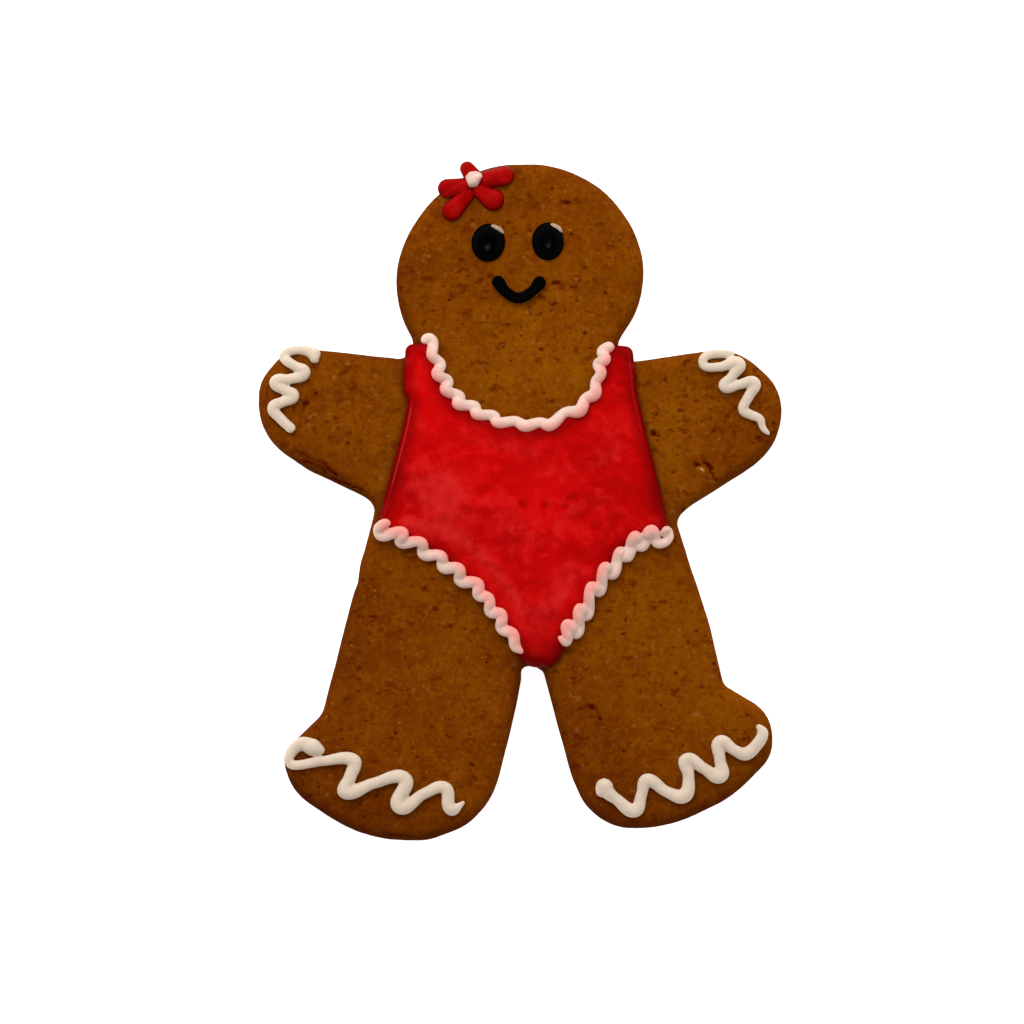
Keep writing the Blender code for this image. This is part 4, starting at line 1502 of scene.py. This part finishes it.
@dataclass
class Dough:
    """The baked figure: cut out, with a rolled-off upper edge and an uneven top."""

    thickness: float = 8.0
    top_round: float = 3.2
    top_fall: float = 2.6
    bottom_round: float = 1.0
    shoulder: float = 0.2  # share of the rounded edge that icing hanging over it stays above
    edge_step: float = 0.45
    top_step: float = 0.47
    top_border: float = 0.28  # how far from the level top's ring its scatter stays
    clearance: float = 0.26  # and from the extra points at pits and cracks
    closest: float = 0.07  # how near two of those may lie
    extra_border: float = 0.2  # and how near the level top's ring
    crack_step: float = 0.3
    crack_rows: tuple[float, ...] = (0.0, 0.5, -0.5, 1.1, -1.1)  # in the crack's widths
    pit_rings: tuple[tuple[float, int], ...] = ((0.45, 6), (0.95, 9))  # size and points
    below_step: float = 1.6
    bottom_steps: int = 4
    wall_steps: int = 9
    top_steps: int = 10
    waves: int = 9
    wave_lengths: Place = (13.0, 42.0)
    swell: float = 0.10  # how far the top waves up and down
    wobble: float = 0.03  # how far the cut edge waves in and out
    ripples: tuple[int, int] = (20, 70)  # how often it does so round the outline
    ripple_count: int = 10
    flecks: int = 230  # small pits besides the named ones
    fleck_sizes: Place = (0.45, 1.0)
    fleck_slimness: Place = (0.45, 0.9)  # their width as a share of their length
    fleck_tilt: float = 35.0  # how far they turn from +X, in degrees
    fleck_force: Place = (0.15, 1.0)
    fleck_border: float = 1.2  # how far inside the edge they stay
    lump: Place = (6.0, 0.09)  # size and height of the crust's lumps
    grain: Place = (1.3, 0.045)
    skin: Place = (0.05, 1.6)  # the heights between which both of them come in
    marked: Place = (0.45, 0.9)  # the shares of the thickness between which its marks do
    seed: float = 3.0
    bleed_and_shadow_reach: float = 0.75  # how far the red bleed and painted contact shadow reach into the crust
    region: Region = field(init=False)

    def __post_init__(self) -> None:
        """Lays out the outline, the waves of the top and the small pits."""
        self.region = Region.within(DOUGH_OUTLINE, self.edge_step)
        draw = np.random.default_rng(SEED)
        angles = draw.uniform(0.0, 2 * math.pi, self.waves)
        turns = 2 * math.pi / draw.uniform(*self.wave_lengths, self.waves)
        self.pulse = np.column_stack([np.cos(angles), np.sin(angles)]) * turns[:, None]
        self.phases = draw.uniform(0.0, 2 * math.pi, self.waves)
        low, high = self.region.outline.min(axis=0), self.region.outline.max(axis=0)
        places = draw.uniform(low, high, (self.flecks * 3, 2))
        places = places[self.region.depth(places) > self.fleck_border][: self.flecks]
        sizes = draw.uniform(*self.fleck_sizes, len(places))
        slim = draw.uniform(*self.fleck_slimness, len(places))
        tilts = draw.normal(0.0, self.fleck_tilt, len(places))
        strength = draw.uniform(*self.fleck_force, len(places)) ** 1.5
        self.pits = list(PITS) + [
            Pit(x, y, size, size * thin, tilt, 0.08 + 0.2 * force * size, 0.35 + 0.6 * force)
            for (x, y), size, thin, tilt, force in zip(places, sizes, slim, tilts, strength)
        ]

    def waving(self, points: np.ndarray) -> np.ndarray:
        """How far the uneven top lies above the mean one."""
        return self.swell * np.sin(points[:, :2] @ self.pulse.T + self.phases).sum(axis=1) / 3.0

    def ground(self, points: np.ndarray) -> np.ndarray:
        """The height of the dough's top, level with its edge's shoulder outside.

        Args:
            points: Points, of which the first two columns are the plan.

        Returns:
            A height in mm for each point.
        """
        share = self.region.depth(points) / self.top_round
        away = 1.0 - np.clip(share, self.shoulder, 1.0)
        fall = self.top_fall * (1.0 - np.sqrt(1.0 - away**2))
        return self.thickness - fall + self.waving(points)

    def levels(self) -> list[Place]:
        """The rings' insets and heights, from the underside to the level top.

        Returns:
            An inset and a height in mm for each ring.
        """
        low, shoulder = self.bottom_round, self.thickness - self.top_fall
        found = [(low * (1 - s), low * (1 - c)) for s, c in quarter(self.bottom_steps)]
        for k in range(1, self.wall_steps):
            found.append((0.0, low + (shoulder - low) * k / self.wall_steps))
        for sine, cosine in quarter(self.top_steps):
            found.append((self.top_round * (1 - cosine), shoulder + self.top_fall * sine))
        return found

    def crack_points(self) -> np.ndarray:
        """Rows of extra points along the cracks.

        Returns:
            Plan points.
        """
        found = []
        for crack in CRACKS:
            line = evenly_spaced(np.array(crack.places), self.crack_step, closed=False)
            side = sideways(np.gradient(line, axis=0))
            for share in self.crack_rows:
                found.append(line + side * share * crack.width)
        return np.vstack(found)

    def pit_points(self) -> np.ndarray:
        """Rings of extra points round the middle of each pit.

        Returns:
            Plan points.
        """
        found = []
        for pit in (*self.pits, *CRUMBS):
            tilt = math.radians(pit.tilt)
            cosine, sine = math.cos(tilt), math.sin(tilt)
            found.append((pit.x, pit.y))
            for share, count in self.pit_rings:
                for k in range(count):
                    turn = 2 * math.pi * k / count
                    along = math.cos(turn) * share * pit.length / 2
                    across = math.sin(turn) * share * pit.width / 2
                    x, y = along * cosine - across * sine, along * sine + across * cosine
                    found.append((pit.x + x, pit.y + y))
        return np.array(found)

    def top_places(self, ring: np.ndarray, draw: np.random.Generator) -> np.ndarray:
        """Places on the level top: an even scatter, closer at pits and cracks.

        Args:
            ring: The ring that bounds the level top.
            draw: The source of the small random shifts.

        Returns:
            The places.
        """
        inner = Region(ring)
        extra = np.vstack([self.crack_points(), self.pit_points()])
        extra = extra[inner.depth(extra) > self.extra_border]
        tree = search_tree(extra)
        even = inner.lattice(self.top_step, self.top_border, draw)
        kept = [
            i
            for i, (x, y) in enumerate(extra)
            if all(other >= i for _, other, _ in tree.find_range((x, y, 0.0), self.closest))
        ]
        return np.vstack([extra[kept], even[nearest(tree, even) > self.clearance]])

    def edge_swell(self, draw: np.random.Generator) -> np.ndarray:
        """How far each point of the outline stands out, by the bulges and small waves.

        Args:
            draw: The source of the waves' numbers and phases.

        Returns:
            A distance in mm for each point, negative inwards.
        """
        swell = tinted(self.region.outline, BULGES)
        along = 2 * math.pi * np.arange(len(swell)) / len(swell)
        for turns in draw.integers(*self.ripples, self.ripple_count):
            phase = draw.uniform(0.0, 2 * math.pi)
            rise = self.wobble * math.sqrt(self.ripples[0] / turns)
            swell += rise * np.sin(turns * along + phase) / 2
        return swell

    @staticmethod
    def cracked(
        points: np.ndarray, depth: np.ndarray, dark: np.ndarray
    ) -> tuple[np.ndarray, np.ndarray]:
        """The pits' depths and darkness, with those of the cracks besides.

        Args:
            points: Plan points.
            depth: The pits' depth at each of them, in mm.
            dark: The pits' darkness at each of them.

        Returns:
            The new depths and darkness.
        """
        for crack in CRACKS:
            share = distance_to_line(points, crack.places) / (crack.width / 2)
            cut = np.clip(1.0 - share / 1.5, 0.0, 1.0)
            depth = np.maximum(depth, crack.depth * cut)
            dark = np.maximum(dark, crack.darkness * np.clip(1.3 * cut, 0.0, 1.0))
        return depth, dark

    def build(self, bench: Bench) -> bpy.types.Object:
        """Makes the dough.

        Args:
            bench: Where it is made.

        Returns:
            The finished piece.
        """
        draw = np.random.default_rng(SEED + 1)
        inward = inward_of(self.region.outline)
        swell = self.edge_swell(draw)
        rings, edges = [], []
        for inset, level in self.levels():
            shift = inset - swell * (1.0 - inset / self.top_round)
            rings.append(at_height(self.region.outline + inward * shift[:, None], level))
            edges.append(np.full(len(swell), inset if level > 2 * self.bottom_round else 0.0))
        top = self.top_places(rings[-1][:, :2], draw)
        below = Region(rings[0][:, :2]).lattice(self.below_step, self.below_step / 2, draw)
        points, faces = stacked(rings, at_height(below, 0.0), at_height(top, self.thickness))
        plan = points[:, :2]
        depth, pit = self.cracked(plan, *dents(plan, self.pits))
        crumb, pale = dents(plan, CRUMBS)
        high = smoothstep(points[:, 2], *(share * self.thickness for share in self.marked))
        suit = Region.within(SUIT_OUTLINE, self.edge_step)
        points[:, 2] += high * (self.waving(points) - depth - crumb)
        piece = bench.piece(
            "baked_gingerbread",
            points,
            faces,
            edge=np.concatenate([*edges, np.zeros(len(below)), self.region.depth(top)]),
            pit=pit * high,
            pale=pale * high,
            scorch=tinted(points, SCORCHES_AND_SHADE),
            tone=tinted(points, TONES_AND_PAINTED_LIGHT),
            crazed=stroked(points, CRAZED) * high,
            bleed=high * np.exp(-((np.clip(-suit.depth(points), 0.0, None) / self.bleed_and_shadow_reach) ** 2)),
            skin=smoothstep(points[:, 2], *self.skin),
        )
        crust = bench.materials["gingerbread"]
        relief_tree("crust relief", crust, self.lump, self.grain, self.seed).hang_on(piece)
        return bench.finish(piece, "gingerbread", "gingerbread")


@dataclass
class Suit:
    """The swimsuit: a field of flooded icing with a soft raised edge."""

    dough: Dough
    thickness: float = 1.8
    edge_round: float = 1.5
    edge_foot: float = 0.45  # height at which the edge starts to lean in
    edge_steps: int = 9
    sunk: float = 0.5
    foot: tuple[float, ...] = (0.5, 0.12, 0.1)  # the lowest rings' insets, and a first rise
    edge_step: float = 0.4
    top_step: float = 0.5
    below_step: float = 1.5
    below_border: float = 0.8
    rim_rise: float = 0.12
    rim_inset: float = 1.7
    rim_width: float = 0.8
    bloom_rise: float = 0.10
    lump: Place = (7.0, 0.10)  # size and height of the icing's lumps
    grain: Place = (1.6, 0.02)
    skin: Place = (0.0, 1.0)  # the heights over the dough between which both come in
    seed: float = 5.0
    region: Region = field(init=False)

    def __post_init__(self) -> None:
        """Lays out the outline."""
        self.region = Region.within(SUIT_OUTLINE, self.edge_step)

    def profile(self) -> list[Place]:
        """The rings' insets and heights over the dough, from the underside to the top.

        Returns:
            An inset and a height in mm for each ring.
        """
        low, middle, rise = self.foot
        found = [(low, -self.sunk), (middle, -self.sunk / 2), (0.0, rise)]
        for sine, cosine in quarter(self.edge_steps):
            rise = self.edge_foot + (self.thickness - self.edge_foot) * sine
            found.append((self.edge_round * (1 - cosine), rise))
        return found

    def build(self, bench: Bench) -> bpy.types.Object:
        """Makes the swimsuit.

        Args:
            bench: Where it is made.

        Returns:
            The finished piece.
        """
        draw = np.random.default_rng(SEED + 2)
        outline = self.region.outline
        inward = inward_of(outline)
        rings = [at_height(outline + inward * inset, rise) for inset, rise in self.profile()]
        top = Region(rings[-1][:, :2]).lattice(self.top_step, 0.6 * self.top_step, draw)
        below = Region(rings[0][:, :2]).lattice(self.below_step, self.below_border, draw)
        points, faces = stacked(
            rings, at_height(below, -self.sunk), at_height(top, self.thickness)
        )
        edge = np.clip(self.region.depth(points), 0.0, None)
        bloom = stroked(points, BLOOMS_AND_SHEEN)
        depth, pit = dents(points[:, :2], DIMPLES)
        raised = self.rim_rise * np.exp(-(((edge - self.rim_inset) / self.rim_width) ** 2))
        upper = smoothstep(points[:, 2], 0.6 * self.thickness, self.thickness)
        points[:, 2] += upper * (raised + self.bloom_rise * (bloom - 0.3) - depth)
        skin = smoothstep(points[:, 2], *self.skin)
        points[:, 2] += self.dough.ground(points)
        piece = bench.piece(
            "suit_field",
            points,
            faces,
            edge=edge,
            bloom=bloom,
            pit=pit,
            skin=skin,
            deep=tinted(points, PAINTED_SHADE_PATCHES),
            bright=tinted(points, BRIGHT_RED),
            gleam=stroked(points, GLEAMS),
        )
        icing = bench.materials["suit_icing"]
        relief_tree("icing relief", icing, self.lump, self.grain, self.seed).hang_on(piece)
        return bench.finish(piece, "suit_icing", "suit_icing")


@dataclass
class PipedLine:
    """A line of stiff icing squeezed out of a bag."""

    turns: Sequence[Corner]
    flatness: float  # height as a share of width
    lift: float  # height of its middle over what it lies on, in mm
    voxel: float = 0.19
    rounds: int = 3
    lump: Place = (1.5, 0.03)  # size and height of its lumps
    bluntness: float = 0.85  # 1 would round its ends to a point, and 0 cuts them square
    step: float = 0.2  # spacing of the points along its middle
    ending: str = "icing"  # how the name of its piece ends

    def line(self) -> np.ndarray:
        """Its middle: rows of x, y and width, with rounded ends.

        Returns:
            The rows, close together.
        """
        line = evenly_spaced(smooth_line(self.turns), self.step, closed=False)
        along = lengths_along(line)
        from_end = np.minimum(along, along[-1] - along) / (line[:, 2] / 2)
        line[:, 2] *= np.sqrt(1 - np.clip(self.bluntness - from_end, 0.0, self.bluntness) ** 2)
        return line

    def build(
        self, bench: Bench, node: str, slot: str, ground: np.ndarray, seed: float
    ) -> bpy.types.Object:
        """Pipes the line.

        Args:
            bench: Where it is made.
            node: The node that it replaces.
            slot: Its finish.
            ground: The height of what lies under each point of its middle.
            seed: Which unevenness it takes.

        Returns:
            The finished piece.
        """
        line, icing = self.line(), bench.materials[slot]
        middle = at_height(line, ground + self.lift)
        wire = bench.wire(f"{node}_{self.ending}", middle, line[:, 2])
        piping_tree(icing, self.flatness, seed).hang_on(wire)
        fuse = wire.modifiers.new("fuse", "REMESH")
        fuse.mode = "VOXEL"
        fuse.voxel_size = self.voxel * MM
        settled_tree(icing, self.rounds, self.lump, seed + 1.0).hang_on(wire)
        return bench.finish(wire, node, slot)


@dataclass
class Dab:
    """A dab of icing: steep at its foot and flatter above."""

    outline: np.ndarray
    middle: np.ndarray
    height: float
    sunk: float = 0.5
    steps: int = 14
    foot: Place = (0.7, 0.93)  # the sizes of the two rings that are sunk
    fullness: float = 0.8  # 1 gives an even round, and less a flatter top
    lump: Place = (2.5, 0.05)  # size and height of its lumps
    grain: Place = (0.8, 0.01)
    skin: Place = (0.0, 0.4)  # the heights over the dough between which both come in
    seed: float = 7.0
    inset: float = 5.0  # what its finish reads as its distance from an edge, past any rim
    flank_shade: float = 1.6  # how strong the painted shade is low on its flanks

    def build(
        self, bench: Bench, node: str, slot: str, dough: Dough, creases: Sequence[Crack] = ()
    ) -> bpy.types.Object:
        """Sets the dab down on the dough.

        Args:
            bench: Where it is made.
            node: The node that it replaces.
            slot: Its finish.
            dough: What it lies on.
            creases: Folds pressed into its top.

        Returns:
            The finished piece.
        """
        spokes = self.outline - self.middle
        sides = list(zip(self.foot, (-self.sunk, -self.sunk / 2)))
        for sine, cosine in quarter(self.steps)[:-1]:
            sides.append((cosine**self.fullness, self.height * sine))
        rings = [at_height(self.middle + share * spokes, rise) for share, rise in sides]
        points, faces = stacked(rings)
        points[-1, 2] = self.height
        upper = smoothstep(points[:, 2], 0.2 * self.height, 0.6 * self.height)
        for crease in creases:
            away = distance_to_line(points[:, :2], crease.places) / crease.width
            points[:, 2] -= upper * crease.depth * np.exp(-(away**2))
        skin = smoothstep(points[:, 2], *self.skin)
        # Painted shade low on the flanks
        flank = 1.0 - smoothstep(points[:, 2], 0.15 * self.height, 0.92 * self.height)
        points[:, 2] += dough.ground(points)
        numbers = {"skin": skin, "edge": self.inset, "deep": self.flank_shade * flank}
        piece = bench.piece(f"{node}_dab", points, faces, **numbers)
        icing = bench.materials[slot]
        relief_tree("dab relief", icing, self.lump, self.grain, self.seed).hang_on(piece)
        return bench.finish(piece, node, slot)


DROP_POINTS = 64  # points on the two arcs of a drop together
DROP_STEP = 0.25
ELLIPSE_POINTS = 72


def drop_outline(drop: Drop) -> np.ndarray:
    """The anticlockwise outline of a drop: two arcs and the straight sides between them.

    Args:
        drop: The drop.

    Returns:
        The outline, evenly spaced.
    """
    axis = np.array(drop.round_end) - np.array(drop.narrow_end)
    length = np.linalg.norm(axis)
    heading = math.atan2(axis[1], axis[0])
    flare = math.asin((drop.round_radius - drop.narrow_radius) / length)
    outline = []
    for end, radius, middle, half in (
        (drop.round_end, drop.round_radius, heading, math.pi / 2 + flare),
        (drop.narrow_end, drop.narrow_radius, heading + math.pi, math.pi / 2 - flare),
    ):
        for angle in np.linspace(middle - half, middle + half, DROP_POINTS // 2):
            outline.append((end[0] + radius * math.cos(angle), end[1] + radius * math.sin(angle)))
    return evenly_spaced(np.array(outline), DROP_STEP)


def ellipse(x: float, y: float, width: float, length: float, tilt: float) -> np.ndarray:
    """An anticlockwise ellipse whose width lies along +X before it is tilted.

    Args:
        x: Its middle's place.
        y: The same, along +Y.
        width: Its width, in mm.
        length: Its length, in mm.
        tilt: How far it is turned, in degrees.

    Returns:
        Its points.
    """
    angles = 2 * math.pi * np.arange(ELLIPSE_POINTS) / ELLIPSE_POINTS
    wide = np.cos(angles) * width / 2
    long = np.sin(angles) * length / 2
    cosine, sine = math.cos(math.radians(tilt)), math.sin(math.radians(tilt))
    return np.column_stack([x + wide * cosine - long * sine, y + wide * sine + long * cosine])


SEED_STEP = 3.7  # how far apart the seeds of like lines are
ZIGZAG_SEED = 20.0
SMILE_SEED = 40.0
GLINT_SEED = 50.0


@dataclass
class Decoration:
    """All the piped icing on the dough and on the swimsuit."""

    bench: Bench
    dough: Dough
    suit: Suit
    trim_low: float = 0.95  # how high a trim's middle runs over the dough
    trim_high: float = 2.5  # and over the dough where it lies on the suit
    trim_climb: Place = (-0.9, 1.0)  # how far inside the suit's line it climbs
    pink_depth: float = 1.7  # how far inside the suit's line a trim is fully pink
    eye_height: float = 2.0
    eye_fullness: float = 0.9
    glint_rise: float = 0.7  # how high over the dough a glint's middle stays
    petal_height: float = 1.8
    petal_middle: float = 0.75  # how far towards its round end a petal is highest
    middle_height: float = 2.6

    def trims(self) -> None:
        """Pipes the three squiggles along the swimsuit's lines."""
        for seed, (name, turns) in enumerate(TRIMS.items()):
            line = PipedLine(turns, flatness=0.8, lift=0.0, voxel=0.18, rounds=2)
            plan = line.line()
            share = smoothstep(self.suit.region.depth(plan), *self.trim_climb)
            rise = self.trim_low + (self.trim_high - self.trim_low) * share
            ground = self.dough.ground(plan) + rise
            made = line.build(self.bench, name, "trim_icing", ground, seed * SEED_STEP)
            depth = self.suit.region.depth(self.bench.plan(made))
            Bench.mark(made, "stain", smoothstep(depth, PINK_START[name], self.pink_depth))

    def zigzags(self) -> None:
        """Pipes the zigzags on the hands and feet."""
        for seed, (name, turns) in enumerate(ZIGZAGS.items()):
            line = PipedLine(turns, flatness=0.8, lift=0.92)
            start = ZIGZAG_SEED + seed * SEED_STEP
            ground = self.dough.ground(line.line())
            line.build(self.bench, name, "zigzag_icing", ground, start)

    def face(self) -> None:
        """Makes the smile, and the eyes with their glints."""
        line = PipedLine(SMILE, flatness=0.72, lift=0.85, bluntness=0.97, ending="line")
        ground = self.dough.ground(line.line())
        line.build(self.bench, "smile", "smile_icing", ground, SMILE_SEED)
        for (name, eye), (glint_name, turns) in zip(EYES.items(), GLINTS.items()):
            shape = {"steps": 20, "fullness": self.eye_fullness, "lump": (4.0, 0.05)}
            dab = Dab(ellipse(*eye), np.array(eye[:2]), self.eye_height, **shape)
            dab.build(self.bench, name, "eye_icing", self.dough)
            shape = {"voxel": 0.12, "rounds": 2, "lump": (1.0, 0.02), "ending": "stroke"}
            line = PipedLine(turns, flatness=0.6, lift=0.0, **shape)
            plan = line.line()[:, :2]
            ground = self.dough.ground(plan) + np.maximum(self.rise(eye, plan), self.glint_rise)
            line.build(self.bench, glint_name, "glint_icing", ground, GLINT_SEED)

    def rise(self, eye: Sequence[float], plan: np.ndarray) -> np.ndarray:
        """How high an eye rises over the dough at each of these places.

        Args:
            eye: The eye's x, y, width, length and tilt.
            plan: The places.

        Returns:
            Heights in mm, 0 beside the eye.
        """
        offset, tilt = plan - np.array(eye[:2]), math.radians(eye[4])
        wide = offset @ (math.cos(tilt), math.sin(tilt)) / (eye[2] / 2)
        long = offset @ (-math.sin(tilt), math.cos(tilt)) / (eye[3] / 2)
        share = np.clip(np.sqrt(wide**2 + long**2), 0.0, 1.0) ** (1 / self.eye_fullness)
        return self.eye_height * np.sqrt(1.0 - share**2)

    def flower(self) -> None:
        """Makes the petals and the middle that covers their inner ends."""
        for name, drop in PETALS.items():
            ends, share = np.array((drop.round_end, drop.narrow_end)), self.petal_middle
            middle = ends[0] * share + ends[1] * (1 - share)
            dab = Dab(drop_outline(drop), middle, self.petal_height, fullness=0.7, lump=(2.5, 0.04))
            creases = (PETAL_FOLD,) if name == "petal_left" else ()
            dab.build(self.bench, name, "petal_icing", self.dough, creases)
        outline = evenly_spaced(rounded_path(FLOWER_MIDDLE), step=0.2)
        dab = Dab(outline, outline.mean(axis=0), self.middle_height, lump=(3.0, 0.02))
        dab.build(self.bench, "flower_middle", "flower_middle_icing", self.dough)


# Studio


class Lamp(Enum):
    """A kind of light, with the name of the setting that says how soft it is."""

    SUN = "angle"
    AREA = "size"


class Light(NamedTuple):
    """A soft light that looks at the object, with its lengths in metres."""

    name: str
    lamp: Lamp
    place: tuple[float, float, float]
    size: float  # a sun's angle in radians, or a square's side
    power: float
    mirrored: bool  # whether glossy surfaces mirror it


LIGHTS = rows(
    Light,
    ("key", Lamp.SUN, (-0.25, 0.75, 0.85), 0.5, 0.15, False),
    ("near key", Lamp.AREA, (-0.13, 0.42, 0.48), 0.45, 2.4, False),
    ("overhead", Lamp.AREA, (0.0, -0.17, 1.35), 0.18, 3.0, True),
)
WHITE = (1.0, 1.0, 1.0, 1.0)


@dataclass(frozen=True)
class Studio:
    """A pale floor, soft light mostly from the head's side, and a camera looking down."""

    floor_size: float = 3.0
    floor_drop: float = 0.0002
    floor_shade: float = 0.93
    floor_glow: float = 0.75
    lens: float = 200.0
    sensor: float = 36.0
    view_width: float = 0.24309  # what the frame takes in at the object's top
    aim: Place = (-0.0019, -0.0025)
    level: float = 0.0045  # the height that view_width is measured at
    near: float = 0.01  # nothing nearer the camera shows
    sky_overhead: float = 0.02
    sky_fade: Place = (0.94, 0.66)  # how steep the directions are where it brightens
    sky_around: float = 0.92
    sky_lean: float = 0.56  # how much brighter it is on the head's side

    def floor(self) -> None:
        """Lays the floor."""
        half = self.floor_size / 2
        corners = [(-half, -half), (half, -half), (half, half), (-half, half)]
        mesh = bpy.data.meshes.new("floor")
        mesh.from_pydata([(x, y, -self.floor_drop) for x, y in corners], [], [(0, 1, 2, 3)])
        made = placed("floor", mesh)
        surface = Surface("pale floor", 0.0)
        for name, value in (
            ("Base Color", (*[self.floor_shade] * 3, 1.0)),
            ("Roughness", 1.0),
            ("Emission Color", WHITE),
            ("Emission Strength", self.floor_glow),
        ):
            surface.feed(surface.shader.inputs[name], value)
        mesh.materials.append(surface.material)

    @staticmethod
    def hang(light: Light) -> None:
        """Hangs a light.

        Args:
            light: The light.
        """
        data = bpy.data.lights.new(light.name, light.lamp.name)
        setattr(data, light.lamp.value, light.size)
        data.energy = light.power
        made = placed(light.name, data)
        made.location = light.place
        made.visible_glossy = light.mirrored
        made.rotation_euler = (-Vector(light.place)).to_track_quat("-Z", "Y").to_euler()

    def sky(self) -> None:
        """Surrounds the object with light that is brighter low down than overhead."""
        world = bpy.data.worlds.new("studio")
        bpy.context.scene.world = world
        world.use_nodes = True
        graph = Graph(world.node_tree)
        background = world.node_tree.nodes["Background"]
        direction = graph.add("ShaderNodeTexCoord", output="Generated")
        up = graph.add("ShaderNodeSeparateXYZ", {0: direction}, output="Z")
        side = graph.add("ShaderNodeSeparateXYZ", {0: direction}, output="Y")
        graph.feed(background.inputs["Color"], WHITE)
        light = up.fade(*self.sky_fade) * (self.sky_around + side * self.sky_lean)
        graph.feed(background.inputs["Strength"], self.sky_overhead + light)

    def camera(self) -> None:
        """Sets up the camera, straight above the object."""
        data = bpy.data.cameras.new("camera")
        data.lens = self.lens
        data.sensor_width = self.sensor
        data.clip_start = self.near
        made = placed("camera", data)
        distance = self.view_width * self.lens / self.sensor
        made.location = (*self.aim, self.level + distance)
        bpy.context.scene.camera = made

    def build(self) -> None:
        """Sets up everything round the object."""
        self.floor()
        self.sky()
        for light in LIGHTS:
            self.hang(light)
        self.camera()
        bpy.context.scene.view_settings.view_transform = "Standard"
        LOG.info("studio ready")


def main() -> None:
    """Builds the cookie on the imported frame, and the studio round it."""
    logging.basicConfig(level=logging.INFO, format="%(name)s: %(message)s", stream=sys.stdout)
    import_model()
    low, high = (np.array(corner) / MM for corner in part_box("gingerbread"))
    outline = rounded_path(DOUGH_OUTLINE)
    drawn = (outline.min(axis=0) + outline.max(axis=0)) / 2
    materials = {slot: finish.make() for slot, finish in FINISHES.items()}
    bench = Bench(np.array([*((low + high)[:2] / 2 - drawn), low[2]]), materials)
    dough = Dough()
    dough.build(bench)
    suit = Suit(dough)
    suit.build(bench)
    decoration = Decoration(bench, dough, suit)
    decoration.trims()
    decoration.zigzags()
    decoration.face()
    decoration.flower()
    Studio().build()
    bpy.context.view_layer.update()


if __name__ == "__main__":
    main()
